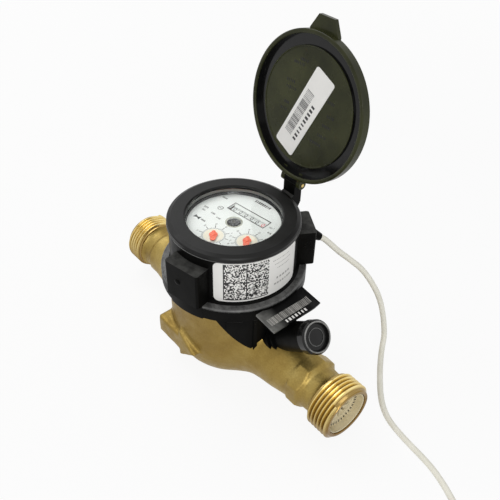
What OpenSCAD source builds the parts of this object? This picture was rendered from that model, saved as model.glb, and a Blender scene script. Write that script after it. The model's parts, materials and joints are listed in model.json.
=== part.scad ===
/* [Body casting] */
// Length over both threaded ends
body_l = 190; // [180:1:220]
// Height of the pipe axis above the underside of the bowl
axis_h = 22; // [21:0.5:24]
// Outside diameter of the end threads
thread_d = 33.25; // [32:0.05:34]
// Length of each threaded end
thread_l = 14.5; // [12:0.5:16]
// Radius of the waist behind each thread
waist_r = 12.9; // [12.6:0.1:13.5]
// Radius of the water passage in the pipe ends
bore_r = 10; // [9.6:0.1:10.4]
// Radius of the widened mouth inside each thread
mouth_r = 12.9; // [12.2:0.1:13.4]
// Depth of the widened mouth
mouth_depth = 11; // [8:0.5:12]
// Outside radius of the bowl
bowl_r = 36.6; // [36.2:0.1:37.2]
// Radius of the flat that the bowl stands on
foot_r = 20; // [16:0.5:22]
// Height of the bowl rim
rim_h = 62; // [61:0.5:64]
// Radius of the wet chamber inside the bowl
chamber_r = 31.5; // [31:0.1:32]
// Thickness of the bowl floor
floor_t = 5; // [4:0.5:6]

/* [Register] */
// Outside radius of the register can
can_r = 32.9; // [32.4:0.1:33.2]
// Wall of the register can
can_wall = 1.5; // [1:0.1:1.7]
// Height of the register can
can_h = 29; // [29:0.5:33]
// Thickness of the window glass
glass_t = 2.6; // [2:0.1:4]
// Radius of the opening in the bezel
window_r = 26.1; // [25:0.1:27]
// Outside radius of the bezel
bezel_r = 36; // [35.8:0.1:37]
// Gear tooth module
gear_m = 0.6; // [0.56:0.01:0.62]
// Radius of a number drum
drum_r = 4.6; // [4.2:0.1:4.8]
// Width of a number drum
drum_w = 3.8; // [3.4:0.1:3.9]

/* [Shroud and lid] */
// Wall of the shroud
shroud_wall = 2; // [1.8:0.1:3]
// Outside radius of the skirt
skirt_r = 40.8; // [40:0.1:42]
// Height of the skirt underside
skirt_h = 55; // [53:0.5:57]
// Width of the left lug
left_lug_w = 22; // [18:0.5:26]
// Width of the right lug
right_lug_w = 20; // [17:0.5:24]
// Drop from the top of the shroud wall to the top of both lugs
lug_drop = 6; // [3:0.5:9]
// Outside radius of the lid
lid_r = 39.9; // [39.4:0.1:40.2]
// Thickness of the lid plate
lid_t = 2.5; // [1.5:0.1:4]
// Depth of the rim that drops round the bezel
lid_lip = 3; // [2:0.1:4]
// Distance of the hinge axis from the register axis
hinge_r = 43.3; // [43:0.1:45]
// Angle at which the lid stands open
open_angle = 100; // [90:1:105]
// Radius of the hinge pin
pin_r = 1; // [0.8:0.05:1.2]

/* [Fits] */
// Radial clearance of parts that turn or slide
run_fit = 0.06; // [0.03:0.01:0.08]
// Clearance between parts that only lie beside each other
side_gap = 0.3; // [0.2:0.05:0.4]

/* [Hidden] */
$fn = 96;

brass = [0.80, 0.66, 0.36];
black = [0.13, 0.13, 0.12];
white = [0.93, 0.93, 0.90];
steel = [0.72, 0.73, 0.75];
rubber = [0.1, 0.1, 0.1];
natural = [0.88, 0.87, 0.82];
ferrite = [0.25, 0.25, 0.27];
hand_red = [0.9, 0.3, 0.15];

// Heights of the stack above the bowl
plate_z = rim_h - 10;
plate_t = 4;
plate_r = chamber_r + 1.7;
seat_r = plate_r + 0.2;
seal_t = 2;
can_z = rim_h;
glass_z = can_z + can_h;
gasket_z = glass_z + glass_t;
gasket_t = 0.6;
bezel_lip_t = 1.8;
top_z = gasket_z + gasket_t + bezel_lip_t;
shroud_ri = can_r + side_gap;
shroud_r = shroud_ri + shroud_wall;
wall_top_z = top_z - 4;
skirt_ri = bowl_r + 0.4;
skirt_top_z = rim_h + 2;

// Measuring chamber
ledge_z = 26;
ledge_t = 3;
ledge_r = 28.5;
basket_r = ledge_r - side_gap;
basket_wall = 2.4;
sump_r = 26;
sump_h = 8;
basket_z = floor_t + 5;
basket_top_z = plate_z - 9;
basket_floor_t = 3;
cover_t = 3;
port_count = 10;
impeller_r = basket_r - basket_wall - 2;
vane_count = 8;
vane_t = 0.9;
pivot_r = 1;
shaft_r = 2;
magnet_r = 6;

// Pipe ends, with the outline of the neck as radius and distance from the middle
neck = [[21, 10], [19.6, 30], [18.8, 36], [17.7, 43], [16.7, 51], [15.3, 58]];
end_x = body_l / 2;
waist_x = end_x - thread_l;
flats_r = 15.2;
flats_x = waist_x - 17.5;
flats_l = 7.4;
duct_r = 8;
duct_bend_x = 52;
duct_mouth_x = 27;
lower_duct_z = axis_h - 9;
upper_duct_z = axis_h + 9;
cage_r = bore_r - run_fit;
cage_wall = 1.5;
mouth_x = end_x - mouth_depth;
cage_x0 = end_x - 29;
cage_x1 = end_x - 5;
stem_r = 1.3;
poppet_r = 6.6;
poppet_t = 2;
seat_hole_r = 5.4;
cage_seat_t = 2;
cage_end_t = 2.5;
cage_slots = 10;
strainer_l = 20;
flange_r = mouth_r - run_fit;
flange_t = cage_x1 - mouth_x - run_fit;
flange_rim = 1.2;
cage_slot_w = 1.3;

// Movement: gear places follow from the two pointers and the tooth counts
arbor_r = 0.8;
frame_z = can_z + 9;
frame_t = 1;
dial_t = 1;
dial_z = glass_z - 1.7 - dial_t;
frame_r = can_r - can_wall - side_gap;
hand_z = dial_z + dial_t + 0.4;
hand_t = 0.5;
arbor_tail = 0.5;
pointer_a = [2.2, -15.5];
pointer_b = [16.9, -4.9];
pinion_n = 8;
wheel_n = 32;
mid_n = 20;
gear_h = 2;
level_1 = frame_z + frame_t + 1;
level_2 = level_1 + 3;
level_3 = level_2 + 3;
level_4 = level_3 + 3;
wide_pair = gear_m * (pinion_n + wheel_n) / 2;
near_pair = gear_m * (pinion_n + mid_n) / 2;
gear_1 = meet([0, 0], wide_pair, pointer_a, wide_pair, -1);
gear_2 = meet(pointer_a, near_pair, pointer_b, wide_pair, 1);
counter_mid = [0.3, 10.2];
counter_turn = 8;
drum_count = 6;
drum_pitch = drum_w + side_gap;
drum_z = dial_z - side_gap - drum_r;
counter_l = drum_count * drum_pitch;
star_hole_r = 4;
pillar_r = 2;
pillar_ring = frame_r - 2.6;
pillar_angles = [62, 118, 200, 306];

// Lugs on the shroud
lug_top_z = wall_top_z - lug_drop;
left_lug_a = -78;
left_lug_out = 42.7;
right_lug_a = 60;
right_lug_out = 43.9;
right_lug_z = skirt_top_z;
gland_z = skirt_top_z + 13.8;
gland_l = 6;
gland_tilt = 33;

// Hinge and lid, drawn closed and then swung open
hinge_x = -1;
hinge_z = top_z + 3.2;
hinge_pos = [hinge_x, hinge_r, hinge_z];
knuckle_r = 2.6;
arm_w = 9;
ear_t = 2.7;
lid_gap = 0.5;
lid_disc_h = 1;
lid_disc_r = 31.7;
lid_plate_z = top_z + lid_gap + lid_disc_h;
lid_lip_w = 2.3;
lid_edge = 0.8;
lid_label_w = 15;
lid_label_l = 51;

// Locking block and plug over the outlet
block_ri = bowl_r + side_gap;
block_r = skirt_r - 1.2;
block_a0 = -52;
block_a1 = 52;
block_slope = 62;
block_slope_x = 24;
plug_root = [41, 0, axis_h + 14];
plug_tilt = 39;
plug_l = 29;
plug_r = 8.2;
collar_at = 4;
collar_t = 2;
collar_r = plug_r + 1.6;
boss_r = collar_r + 1.2;
cap_r = 9.1;
cap_l = 6;
tag_l = 32.6;
tag_w = 14.4;
tag_t = 1.2;
curl_r = 14;
curl_a = 30;
tag_z = skirt_top_z - 4;
tag_tilt = 5;

// Signal lead: route of the run on the floor and up to the gland
lead_d = 3.4;
lead_sides = 8;
lead_route = [
    [24.5, 42.4, 74.5], [25.7, 44.5, 72.9], [29.2, 47.7, 68.9], [32.6, 50.6, 65],
    [38.8, 54.6, 60.4], [44.3, 60, 53.5], [52.6, 63, 44], [56.6, 65.3, 35],
    [59.2, 66.7, 26], [61.4, 67.4, 17], [64, 66.2, 9.5], [67.2, 61.8, 4.4],
    [72, 55.7, 2], [77.7, 48.8, 1.8], [83.7, 42.1, 1.8], [89.8, 36, 1.8],
    [96.2, 31, 1.8], [103.5, 27.4, 1.8], [112, 25.4, 1.8], [120.5, 24.2, 1.8],
    [129.2, 23.3, 1.8], [137.3, 22, 1.8], [144.3, 20, 1.8], [151, 17.4, 1.8],
    [158.2, 13.9, 1.8], [164.7, 9.2, 1.8], [170.3, 3.5, 1.8], [174.9, -3.1, 1.8],
    [179, -10.1, 1.8], [183, -17, 1.8], [187, -23.9, 1.8], [191, -30.7, 1.8]
];
coil_mid = [170, -43];
coil_r = 6 * lead_d;
coil_rows = 4;
row_turns = 2.285;
coil_half_w = (row_turns + 1) * lead_d / 2;
coil_h = coil_rows * lead_d;
outer_turn_r = coil_r + row_turns * lead_d / 2;
tie_w = 2.6;
tie_t = 0.7;
tie_a = 150;
end_a0 = -20;
end_a1 = -110;
end_steps = 10;
core_l = 13;
core_r = 0.55;
sweep_ref = [0.7, 0.3, 0.65];

function unit(v) = v / norm(v);

// Point at distance d1 from p1 and d2 from p2, on the chosen side of the line between them
function meet(p1, d1, p2, d2, side) =
    let (d = norm(p2 - p1), u = (p2 - p1) / d, a = (d1 * d1 - d2 * d2 + d * d) / (2 * d))
    p1 + a * u + side * sqrt(d1 * d1 - a * a) * [-u[1], u[0]];

function heading(from, to) = atan2(to[1] - from[1], to[0] - from[0]);

// Turn of the second gear that lets it mesh with the first one
function mesh_turn(from, to, n1, turn1, n2) =
    let (g = heading(from, to), f = (turn1 - g) * n1 / 360)
    g + 180 - f * 360 / n2 + 180 / n2;

// Point on the last stretch of the lead, which comes down from the top turn to the floor
function end_point(s) =
    let (a = end_a0 + (end_a1 - end_a0) * s, k = min(1, 1.4 * s), ease = k * k * (3 - 2 * k),
        r = outer_turn_r + ease * (lead_d + side_gap), z = coil_h - lead_d / 2)
    [coil_mid[0] + r * cos(a), coil_mid[1] + r * sin(a), z + ease * (lead_d / 2 + 0.1 - z)];

function tangent(p, i) = unit(p[min(i + 1, len(p) - 1)] - p[max(i - 1, 0)]);

function ring(c, t, r, n) =
    let (u = unit(cross(t, sweep_ref)), v = cross(u, t))
    [for (k = [0 : n - 1]) c + r * (cos(360 * k / n) * u + sin(360 * k / n) * v)];

// Tube of n sides swept along a list of points
module tube(p, r, n) {
    rings = [for (i = [0 : len(p) - 1]) each ring(p[i], tangent(p, i), r, n)];
    sides = [for (i = [0 : len(p) - 2], k = [0 : n - 1], half = [0, 1])
        let (a = i * n + k, b = i * n + (k + 1) % n) half == 0 ? [a, a + n, b + n] : [a, b + n, b]];
    caps = [[for (k = [0 : n - 1]) k], [for (k = [n - 1 : -1 : 0]) (len(p) - 1) * n + k]];
    polyhedron(rings, concat(sides, caps), convexity = 10);
}

module at_x(x) {
    translate([x, 0, axis_h]) rotate([0, 90, 0]) children();
}

module along_pipe() {
    translate([0, 0, axis_h]) rotate([0, 90, 0]) children();
}

module ring_part(r0, r1, z0, z1) {
    translate([0, 0, z0]) difference() {
        cylinder(r = r1, h = z1 - z0);
        translate([0, 0, -1]) cylinder(r = r0, h = z1 - z0 + 2);
    }
}

// Rectangle with four round corners
module round_rect(w, l, r) {
    square([w - 2 * r, l], center = true);
    square([w, l - 2 * r], center = true);
    for (x = [-1, 1], y = [-1, 1])
        translate([x * (w / 2 - r), y * (l / 2 - r)]) circle(r);
}

// Flat toothed wheel with its first tooth at the given turn
module spur(n, turn, h) {
    pr = gear_m * n / 2;
    pitch = PI * gear_m;
    root = pr - 1.05 * gear_m;
    tip = pr + 0.7 * gear_m;
    linear_extrude(h) {
        circle(root + 0.05);
        for (k = [0 : n - 1]) rotate(turn + 360 * k / n) polygon([
            [root - 0.2, -0.25 * pitch], [pr, -0.19 * pitch], [tip, -0.1 * pitch],
            [tip, 0.1 * pitch], [pr, 0.19 * pitch], [root - 0.2, 0.25 * pitch]]);
    }
}

// Outer form of one pipe end from the bowl to the thread
module pipe_end() {
    along_pipe() rotate_extrude() polygon([
        [0, neck[0][1]], for (p = neck) p, [14.4, waist_x - 15], [14.4, waist_x - 9.5],
        [waist_r + 0.3, waist_x - 8],
        [waist_r, waist_x - 3], [waist_r + 0.5, waist_x - 1.2], [thread_d / 2 - 0.9, waist_x],
        [thread_d / 2, waist_x + 0.9], [thread_d / 2, end_x - 0.9], [thread_d / 2 - 0.9, end_x],
        [0, end_x]]);
}

// The neck with a gap round it, for what is fitted over it
module neck_space() {
    along_pipe() rotate_extrude() polygon([
        [0, neck[0][1]], for (p = neck) [p[0] + side_gap, p[1]], [0, neck[len(neck) - 1][1]]]);
}

module bowl_form() {
    rise = axis_h - 1;
    corner = bowl_r - foot_r;
    rotate_extrude() union() {
        square([foot_r, rim_h]);
        translate([0, rise]) square([bowl_r, rim_h - rise]);
        intersection() {
            translate([foot_r, rise]) bowl_rounding(corner, rise);
            translate([foot_r - 1, 0]) square([corner + 1, rise + 1]);
        }
    }
}

// Quarter of the bowl's rounding, as an arc through the foot and the side
module bowl_rounding(w, h) {
    polygon([[0, 0.5], for (a = [0 : 9 : 90]) [w * cos(a), -h * sin(a)], [-0.5, -h], [-0.5, 0.5]]);
}

// Raised arrow on the side of the bowl that shows the flow
module flow_arrow() {
    translate([0, -29, axis_h - 1]) rotate([90, 0, 0]) linear_extrude(10.5) polygon([
        [-22, -6], [-2, -6], [-2, -11], [13, 0], [-2, 11], [-2, 6], [-22, 6]]);
}

// Water duct from a pipe end to the upper or lower half of the chamber
module duct(z_end) {
    at_x(duct_bend_x) cylinder(r = bore_r, h = end_x - duct_bend_x + 1);
    at_x(mouth_x) cylinder(r = mouth_r, h = mouth_depth + 1);
    run = duct_bend_x + 3 - duct_mouth_x;
    fall = z_end - axis_h;
    translate([duct_mouth_x, 0, z_end])
        rotate([0, 90 + atan2(fall, run), 0]) cylinder(r = duct_r, h = norm([run, fall]));
}

module meter_body() color(brass) difference() {
    union() {
        bowl_form();
        pipe_end();
        mirror([1, 0, 0]) pipe_end();
        at_x(flats_x) rotate(22.5) cylinder(r = flats_r / cos(22.5), h = flats_l, $fn = 8);
        flow_arrow();
    }
    translate([0, 0, floor_t]) cylinder(r1 = sump_r, r2 = chamber_r, h = sump_h);
    translate([0, 0, floor_t + sump_h])
        cylinder(r = chamber_r, h = ledge_z - ledge_t - floor_t - sump_h);
    translate([0, 0, floor_t + sump_h]) cylinder(r = ledge_r, h = rim_h);
    translate([0, 0, ledge_z]) cylinder(r = chamber_r, h = rim_h);
    translate([0, 0, plate_z]) cylinder(r = seat_r, h = rim_h);
    duct(upper_duct_z);
    mirror([1, 0, 0]) duct(lower_duct_z);
}

// Cup with slots that keeps grit out of the inlet
module inlet_strainer() color(white) difference() {
    at_x(-cage_x1) difference() {
        union() {
            cylinder(r = cage_r, h = strainer_l);
            cylinder(r = flange_r, h = flange_t);
        }
        translate([0, 0, -1]) cylinder(r = cage_r - cage_wall, h = strainer_l - 1);
    }
    for (k = [0 : 5]) at_x(-cage_x1 + 5) rotate(60 * k)
        translate([-0.9, 0, 0]) cube([1.8, cage_r + 1, 11]);
    for (y = [-5 : 2.5 : 5]) translate([-cage_x1 + strainer_l - 3, y - 0.6, axis_h - 5])
        cube([4, 1.2, 10]);
}

// Cage of the check valve in the outlet, with slots round the guide of the stem
module valve_cage() color(white) difference() {
    union() {
        at_x(cage_x0) cylinder(r = cage_r, h = cage_x1 - cage_x0);
        at_x(cage_x1 - flange_t) cylinder(r = flange_r, h = flange_t);
    }
    at_x(cage_x1 - flange_rim) cylinder(r1 = cage_r, r2 = flange_r - flange_rim, h = flange_rim + 0.1);
    at_x(cage_x0 + cage_seat_t)
        cylinder(r = cage_r - cage_wall, h = cage_x1 - cage_x0 - cage_seat_t - cage_end_t);
    at_x(cage_x0 - 1) cylinder(r = seat_hole_r, h = cage_seat_t + 2);
    at_x(cage_x1 - cage_end_t - 1) cylinder(r = stem_r + run_fit, h = cage_end_t + 2);
    for (k = [0 : cage_slots - 1]) at_x(cage_x1 - cage_end_t - 1) rotate(360 * k / cage_slots)
        translate([(cage_r - cage_wall + 3) / 2, 0, 0]) linear_extrude(cage_end_t + 2)
        round_rect(cage_r - cage_wall - 3.6, cage_slot_w, 0.6);
}

module valve_poppet() color(white) at_x(cage_x0 + cage_seat_t + side_gap) {
    cylinder(r = poppet_r, h = poppet_t);
    cylinder(r = stem_r, h = cage_x1 - cage_x0 - cage_seat_t - side_gap - 1);
}

module valve_spring() color(steel) {
    wire_r = 0.4;
    x0 = cage_x0 + cage_seat_t + poppet_t + 2 * side_gap + wire_r;
    x1 = cage_x1 - cage_end_t - side_gap - wire_r;
    turns = 5;
    steps = 60;
    coil = [for (i = [0 : steps]) let (a = 360 * turns * i / steps)
        [x0 + (x1 - x0) * i / steps, 2.9 * cos(a), axis_h + 2.9 * sin(a)]];
    tube(coil, wire_r, 6);
}

// Basket of the measuring chamber with its two rows of slanting ports
module chamber_basket() color(natural) difference() {
    union() {
        ring_part(basket_r - basket_wall, basket_r, basket_z, basket_top_z);
        translate([0, 0, basket_z]) cylinder(r = basket_r, h = basket_floor_t);
        ring_part(basket_r - 1, chamber_r - side_gap, ledge_z, ledge_z + 2);
        translate([0, 0, basket_z]) cylinder(r = 4, h = basket_floor_t + 1.5);
    }
    for (k = [0 : port_count - 1], row = [0, 1]) rotate(360 * k / port_count + 18 * row)
        translate([basket_r - 1, 0, row == 0 ? basket_z + 6 : ledge_z + 5])
        rotate(row == 0 ? 50 : -50) translate([-6, -1.5, 0]) cube([12, 3, 6]);
    translate([0, 0, basket_z + 1]) cylinder(r = pivot_r, h = 10);
}

module pivot_pin() color(steel)
    translate([0, 0, basket_z + 1]) cylinder(r = pivot_r, h = 12);

module chamber_cover() color(natural) difference() {
    translate([0, 0, basket_top_z]) cylinder(r = basket_r, h = cover_t);
    translate([0, 0, basket_top_z - 1]) cylinder(r = shaft_r + run_fit, h = cover_t + 2);
}

module impeller() color(natural) {
    vane_z = basket_z + basket_floor_t + 2;
    vane_h = basket_top_z - 1 - vane_z;
    difference() {
        union() {
            translate([0, 0, vane_z]) cylinder(r = 4, h = vane_h);
            translate([0, 0, vane_z]) cylinder(r = shaft_r, h = basket_top_z + cover_t + 5.5 - vane_z);
            for (k = [0 : vane_count - 1]) rotate(360 * k / vane_count)
                translate([3, -vane_t / 2, vane_z]) cube([impeller_r - 3, vane_t, vane_h]);
        }
        translate([0, 0, vane_z - 1]) cylinder(r = pivot_r + run_fit, h = 11);
    }
}

module drive_magnet() color(ferrite)
    ring_part(shaft_r, magnet_r, basket_top_z + cover_t + 1, basket_top_z + cover_t + 5);

// Plate that closes the wet side, hollowed underneath for the drive magnet
module pressure_plate() color(brass) difference() {
    union() {
        translate([0, 0, plate_z]) cylinder(r = plate_r, h = plate_t);
        translate([0, 0, plate_z]) cylinder(r = 14, h = rim_h - plate_z - side_gap);
        ring_part(basket_r - 4, basket_r, basket_top_z + cover_t, plate_z + 1);
    }
    translate([0, 0, plate_z - 1]) cylinder(r = 8, h = plate_t + 2);
}

module body_seal() color(rubber)
    translate([0, 0, plate_z + plate_t + seal_t / 2])
    rotate_extrude() translate([plate_r - seal_t / 2 - 0.2, 0]) circle(seal_t / 2, $fn = 48);

module lock_ring() color(brass)
    ring_part(plate_r - 6, plate_r, plate_z + plate_t + seal_t, rim_h);

module register_can() color([0.75, 0.55, 0.38]) difference() {
    translate([0, 0, can_z]) cylinder(r = can_r, h = can_h);
    translate([0, 0, can_z + 1.2]) cylinder(r = can_r - can_wall, h = can_h);
}

// Place and turn of the number drums on the dial
module on_counter() translate(counter_mid) rotate(counter_turn) children();

// Lower plate with its pillars, the counter brackets and the first gear's pin
module movement_frame() color(natural) difference() {
    union() {
        translate([0, 0, frame_z]) cylinder(r = frame_r, h = frame_t);
        for (a = pillar_angles) rotate(a) translate([pillar_ring, 0, can_z + 1.2])
            cylinder(r = pillar_r, h = dial_z - can_z - 1.2);
        on_counter() for (s = [-1, 1]) translate([s * (counter_l / 2 + 1) - 0.75, -2, frame_z])
            cube([1.5, 4, drum_z + 2 - frame_z]);
        translate([gear_1[0], gear_1[1], frame_z])
            cylinder(r = arbor_r, h = level_2 + gear_h + 1 - frame_z);
    }
    for (p = [[0, 0], pointer_a, pointer_b]) translate([p[0], p[1], frame_z - 1])
        cylinder(r = arbor_r + run_fit, h = frame_t + 2);
    on_counter() translate([-counter_l, 0, drum_z]) rotate([0, 90, 0])
        cylinder(r = arbor_r, h = 2 * counter_l);
}

module follower_magnet() color(ferrite)
    ring_part(arbor_r, magnet_r, can_z + 2.2, can_z + 6.2);

module centre_spindle() color(steel) {
    translate([0, 0, can_z + 1.5]) cylinder(r = arbor_r, h = dial_z + dial_t - can_z - 1.5);
    translate([0, 0, level_1]) spur(pinion_n, heading([0, 0], gear_1), gear_h);
}

// Small star in the middle of the dial that turns at the slightest flow
module star_wheel() color(steel) translate([0, 0, dial_z + 0.2]) linear_extrude(0.6)
    difference() {
        polygon([for (k = [0 : 15]) let (r = k % 2 == 0 ? star_hole_r - 0.5 : 2)
            r * [cos(22.5 * k), sin(22.5 * k)]]);
        circle(arbor_r, $fn = 32);
    }

module first_gear() color(natural) translate([gear_1[0], gear_1[1], 0]) difference() {
    union() {
        translate([0, 0, level_1])
            spur(wheel_n, mesh_turn([0, 0], gear_1, pinion_n, heading([0, 0], gear_1), wheel_n), gear_h);
        translate([0, 0, level_1 - 0.7]) cylinder(r = 1.6, h = level_2 - level_1 + 0.8);
        translate([0, 0, level_2]) spur(pinion_n, heading(gear_1, pointer_a), gear_h);
    }
    translate([0, 0, frame_z]) cylinder(r = arbor_r + run_fit, h = 20);
}

// Arbor of the first pointer, with the wheel below and the pinion above
module pointer_arbor_a() color(natural) translate([pointer_a[0], pointer_a[1], 0]) {
    translate([0, 0, frame_z - arbor_tail])
        cylinder(r = arbor_r, h = hand_z + hand_t + arbor_tail - frame_z);
    translate([0, 0, level_2])
        spur(wheel_n, mesh_turn(gear_1, pointer_a, pinion_n, heading(gear_1, pointer_a), wheel_n), gear_h);
    translate([0, 0, level_3]) spur(pinion_n, heading(pointer_a, gear_2), gear_h);
}

// Wheel and pinion that hang on a pin under the dial and slow the second pointer tenfold
module second_gear() color(natural) translate([gear_2[0], gear_2[1], 0]) difference() {
    union() {
        translate([0, 0, level_3])
            spur(mid_n, mesh_turn(pointer_a, gear_2, pinion_n, heading(pointer_a, gear_2), mid_n), gear_h);
        translate([0, 0, level_3]) cylinder(r = 1.5, h = level_4 - level_3);
        translate([0, 0, level_4]) spur(pinion_n, heading(gear_2, pointer_b), gear_h);
    }
    translate([0, 0, level_3 - 1]) cylinder(r = arbor_r + run_fit, h = 10);
}

module pointer_arbor_b() color(natural) translate([pointer_b[0], pointer_b[1], 0]) {
    translate([0, 0, frame_z - arbor_tail])
        cylinder(r = arbor_r, h = hand_z + hand_t + arbor_tail - frame_z);
    translate([0, 0, level_4])
        spur(wheel_n, mesh_turn(gear_2, pointer_b, pinion_n, heading(gear_2, pointer_b), wheel_n), gear_h);
}

// Flat red hand with a round hub
module hand(p, turn) translate([p[0], p[1], hand_z]) rotate(turn) linear_extrude(hand_t)
    difference() {
        union() {
            circle(1.9);
            polygon([[0, -1], [4, -0.25], [4.4, 0], [4, 0.25], [0, 1], [-2.6, 0.7], [-2.6, -0.7]]);
        }
        circle(arbor_r, $fn = 32);
    }

module pointer_hand_a() color(hand_red) hand(pointer_a, 250);

module pointer_hand_b() color(hand_red) hand(pointer_b, 265);

module drum_axle() color(steel) on_counter() translate([-counter_l / 2 - 2.2, 0, drum_z])
    rotate([0, 90, 0]) cylinder(r = arbor_r, h = counter_l + 4.4);

module drum(i) on_counter() translate([(i - drum_count / 2) * drum_pitch + side_gap / 2, 0, drum_z])
    rotate([0, 90, 0]) difference() {
        cylinder(r = drum_r, h = drum_w);
        translate([0, 0, -1]) cylinder(r = arbor_r + run_fit, h = drum_w + 2);
        for (z = [-1, drum_w - 0.8]) translate([0, 0, z]) ring_part(2, drum_r - 0.7, 0, 1.8);
    }

module drum_1() color(white) drum(0);

module drum_2() color(white) drum(1);

module drum_3() color(white) drum(2);

module drum_4() color(white) drum(3);

module drum_5() color(white) drum(4);

module drum_6() color(white) drum(5);

// Printed plate with the counter window, the star opening and two pointer holes
module dial_plate() color(white) {
    difference() {
        translate([0, 0, dial_z]) cylinder(r = frame_r, h = dial_t);
        on_counter() translate([0, 0, dial_z - 1]) linear_extrude(3)
            square([counter_l + 1, 6.4], center = true);
        translate([0, 0, dial_z - 1]) cylinder(r = star_hole_r, h = 3);
        for (p = [pointer_a, pointer_b]) translate([p[0], p[1], dial_z - 1])
            cylinder(r = arbor_r + run_fit, h = 3);
    }
    translate([gear_2[0], gear_2[1], level_3 - 0.4]) cylinder(r = arbor_r, h = dial_z - level_3 + 0.6);
}

module register_glass() color([0.8, 0.85, 0.85, 0.35])
    translate([0, 0, glass_z]) cylinder(r = can_r - 0.2, h = glass_t);

module glass_seal() color(rubber)
    ring_part(window_r + 1.4, can_r - 0.2, gasket_z, gasket_z + gasket_t);

// Ring that holds the glass down on the can
module bezel_ring() color(black) rotate_extrude() polygon([
    [window_r, top_z - bezel_lip_t], [window_r, top_z - 0.6], [window_r + 0.8, top_z],
    [bezel_r - 2.4, top_z], [bezel_r - 0.5, top_z - 0.9], [bezel_r, top_z - 1.7],
    [bezel_r, wall_top_z], [shroud_ri, wall_top_z], [shroud_ri, top_z - bezel_lip_t]]);

// Lug block with two round outer corners, before it is trimmed to the wall
module lug(a, w, out, z0, z1) rotate(a) translate([(out + shroud_ri) / 2 - 2, 0, z0])
    linear_extrude(z1 - z0) round_rect(out - shroud_ri + 4, w, 1.4);

// Upright that carries the hinge pin behind the bezel
module hinge_arm() {
    y_in = hinge_r - knuckle_r - 0.2;
    y_out = hinge_r + knuckle_r;
    translate([hinge_x - arm_w / 2, 0, 0]) rotate([90, 0, 90]) linear_extrude(arm_w) {
        polygon([
            [shroud_ri - 1, skirt_top_z + 3], [shroud_r, skirt_top_z + 3], [y_out, wall_top_z - 6],
            [y_out, hinge_z], [y_in, hinge_z], [y_in, wall_top_z], [shroud_r + 1, wall_top_z - 1.5],
            [shroud_ri - 1, wall_top_z - 1.5]]);
        translate([hinge_r, hinge_z]) circle(knuckle_r);
    }
}

module shroud() color(black) difference() {
    union() {
        rotate_extrude() polygon([
            [skirt_ri, skirt_h], [skirt_r - 0.8, skirt_h], [skirt_r, skirt_h + 0.8],
            [skirt_r, skirt_top_z - 1], [skirt_r - 1, skirt_top_z], [shroud_r + 1.5, skirt_top_z],
            [shroud_r, skirt_top_z + 1], [shroud_r, wall_top_z], [shroud_ri - 1, wall_top_z],
            [shroud_ri - 1, rim_h], [skirt_ri, rim_h]]);
        lug(left_lug_a, left_lug_w, left_lug_out, skirt_h, lug_top_z);
        lug(right_lug_a, right_lug_w, right_lug_out, right_lug_z, lug_top_z);
        hinge_arm();
    }
    translate([0, 0, rim_h]) cylinder(r = shroud_ri, h = top_z);
    translate([0, 0, skirt_h - 1]) cylinder(r = skirt_ri, h = rim_h - skirt_h + 1);
    translate(hinge_pos - [arm_w, 0, 0]) rotate([0, 90, 0]) cylinder(r = pin_r, h = 2 * arm_w);
    rotate(left_lug_a) translate([left_lug_out - 0.8, 0, lug_top_z - 13]) rotate([0, 90, 0])
        cylinder(r = 1.3, h = 2);
    sensor_space(side_gap / 2);
}

// Space in the right lug that the pulse sensor fills
module sensor_space(gap) rotate(right_lug_a)
    translate([shroud_r + 1 - gap, -6 - gap, gland_z - 7 - gap])
    cube([5 + 2 * gap, 12 + 2 * gap, 14 + 2 * gap]);

module serial_label() color(white) rotate(-56) translate([0, 0, skirt_top_z + 1.4])
    rotate_extrude(angle = 82) translate([shroud_r, 0]) square([0.2, wall_top_z - skirt_top_z - 2]);

module pulse_sensor() color([0.2, 0.2, 0.22]) sensor_space(0);

// Tapered sleeve where the lead leaves the lug
module cable_gland() color(black) rotate(right_lug_a) difference() {
    translate([right_lug_out, 0, gland_z]) rotate([0, 90 + gland_tilt, 0]) translate([0, 0, -4])
        cylinder(r1 = 4, r2 = lead_d / 2 + 0.5, h = gland_l + 4);
    translate([right_lug_out - 20, -10, gland_z - 20]) cube([20, 20, 40]);
}

// Block under the skirt that locks the shroud to the outlet neck
module saddle_block() color(black) difference() {
    union() {
        sloped_block();
        plug_axis() translate([0, 0, -8]) cylinder(r = boss_r, h = 8 + collar_at - 0.5);
    }
    translate([0, 0, -1]) cylinder(r = block_ri, h = 100);
    neck_space();
    plug_axis() translate([0, 0, -10]) cylinder(r = plug_r + run_fit, h = 24);
    plug_axis() translate([0, 0, collar_at - run_fit]) cylinder(r = collar_r + run_fit, h = 20);
}

// Curved block with two ribs and a strip, cut off along a slope at its lower end
module sloped_block() difference() {
    union() {
        translate([0, 0, axis_h + 6]) rotate(block_a0) rotate_extrude(angle = block_a1 - block_a0)
            translate([block_ri - 1, 0]) square([block_r - block_ri + 1, skirt_h - axis_h - 6]);
        for (a = [-22, 22]) rotate(a) translate([block_r - 1, -1.1, axis_h + 6])
            cube([1.9, 2.2, skirt_h - axis_h - 6]);
        rotate(block_a0 + 8) rotate_extrude(angle = 12)
            translate([block_r - 0.4, skirt_h - 3]) square([1.2, 3]);
    }
    translate([block_slope_x, -60, skirt_h]) rotate([0, block_slope, 0]) translate([-20, 0, -40])
        cube([80, 120, 40]);
}

module plug_axis() translate(plug_root) rotate([0, 90 - plug_tilt, 0]) children();

// Barrel of the sealing plug with its collar
module plug_barrel() color(black) difference() {
    plug_axis() {
        cylinder(r = plug_r, h = plug_l);
        translate([0, 0, collar_at]) cylinder(r = collar_r, h = collar_t);
    }
    translate([0, 0, -1]) cylinder(r = block_ri, h = 100);
    neck_space();
}

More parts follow.
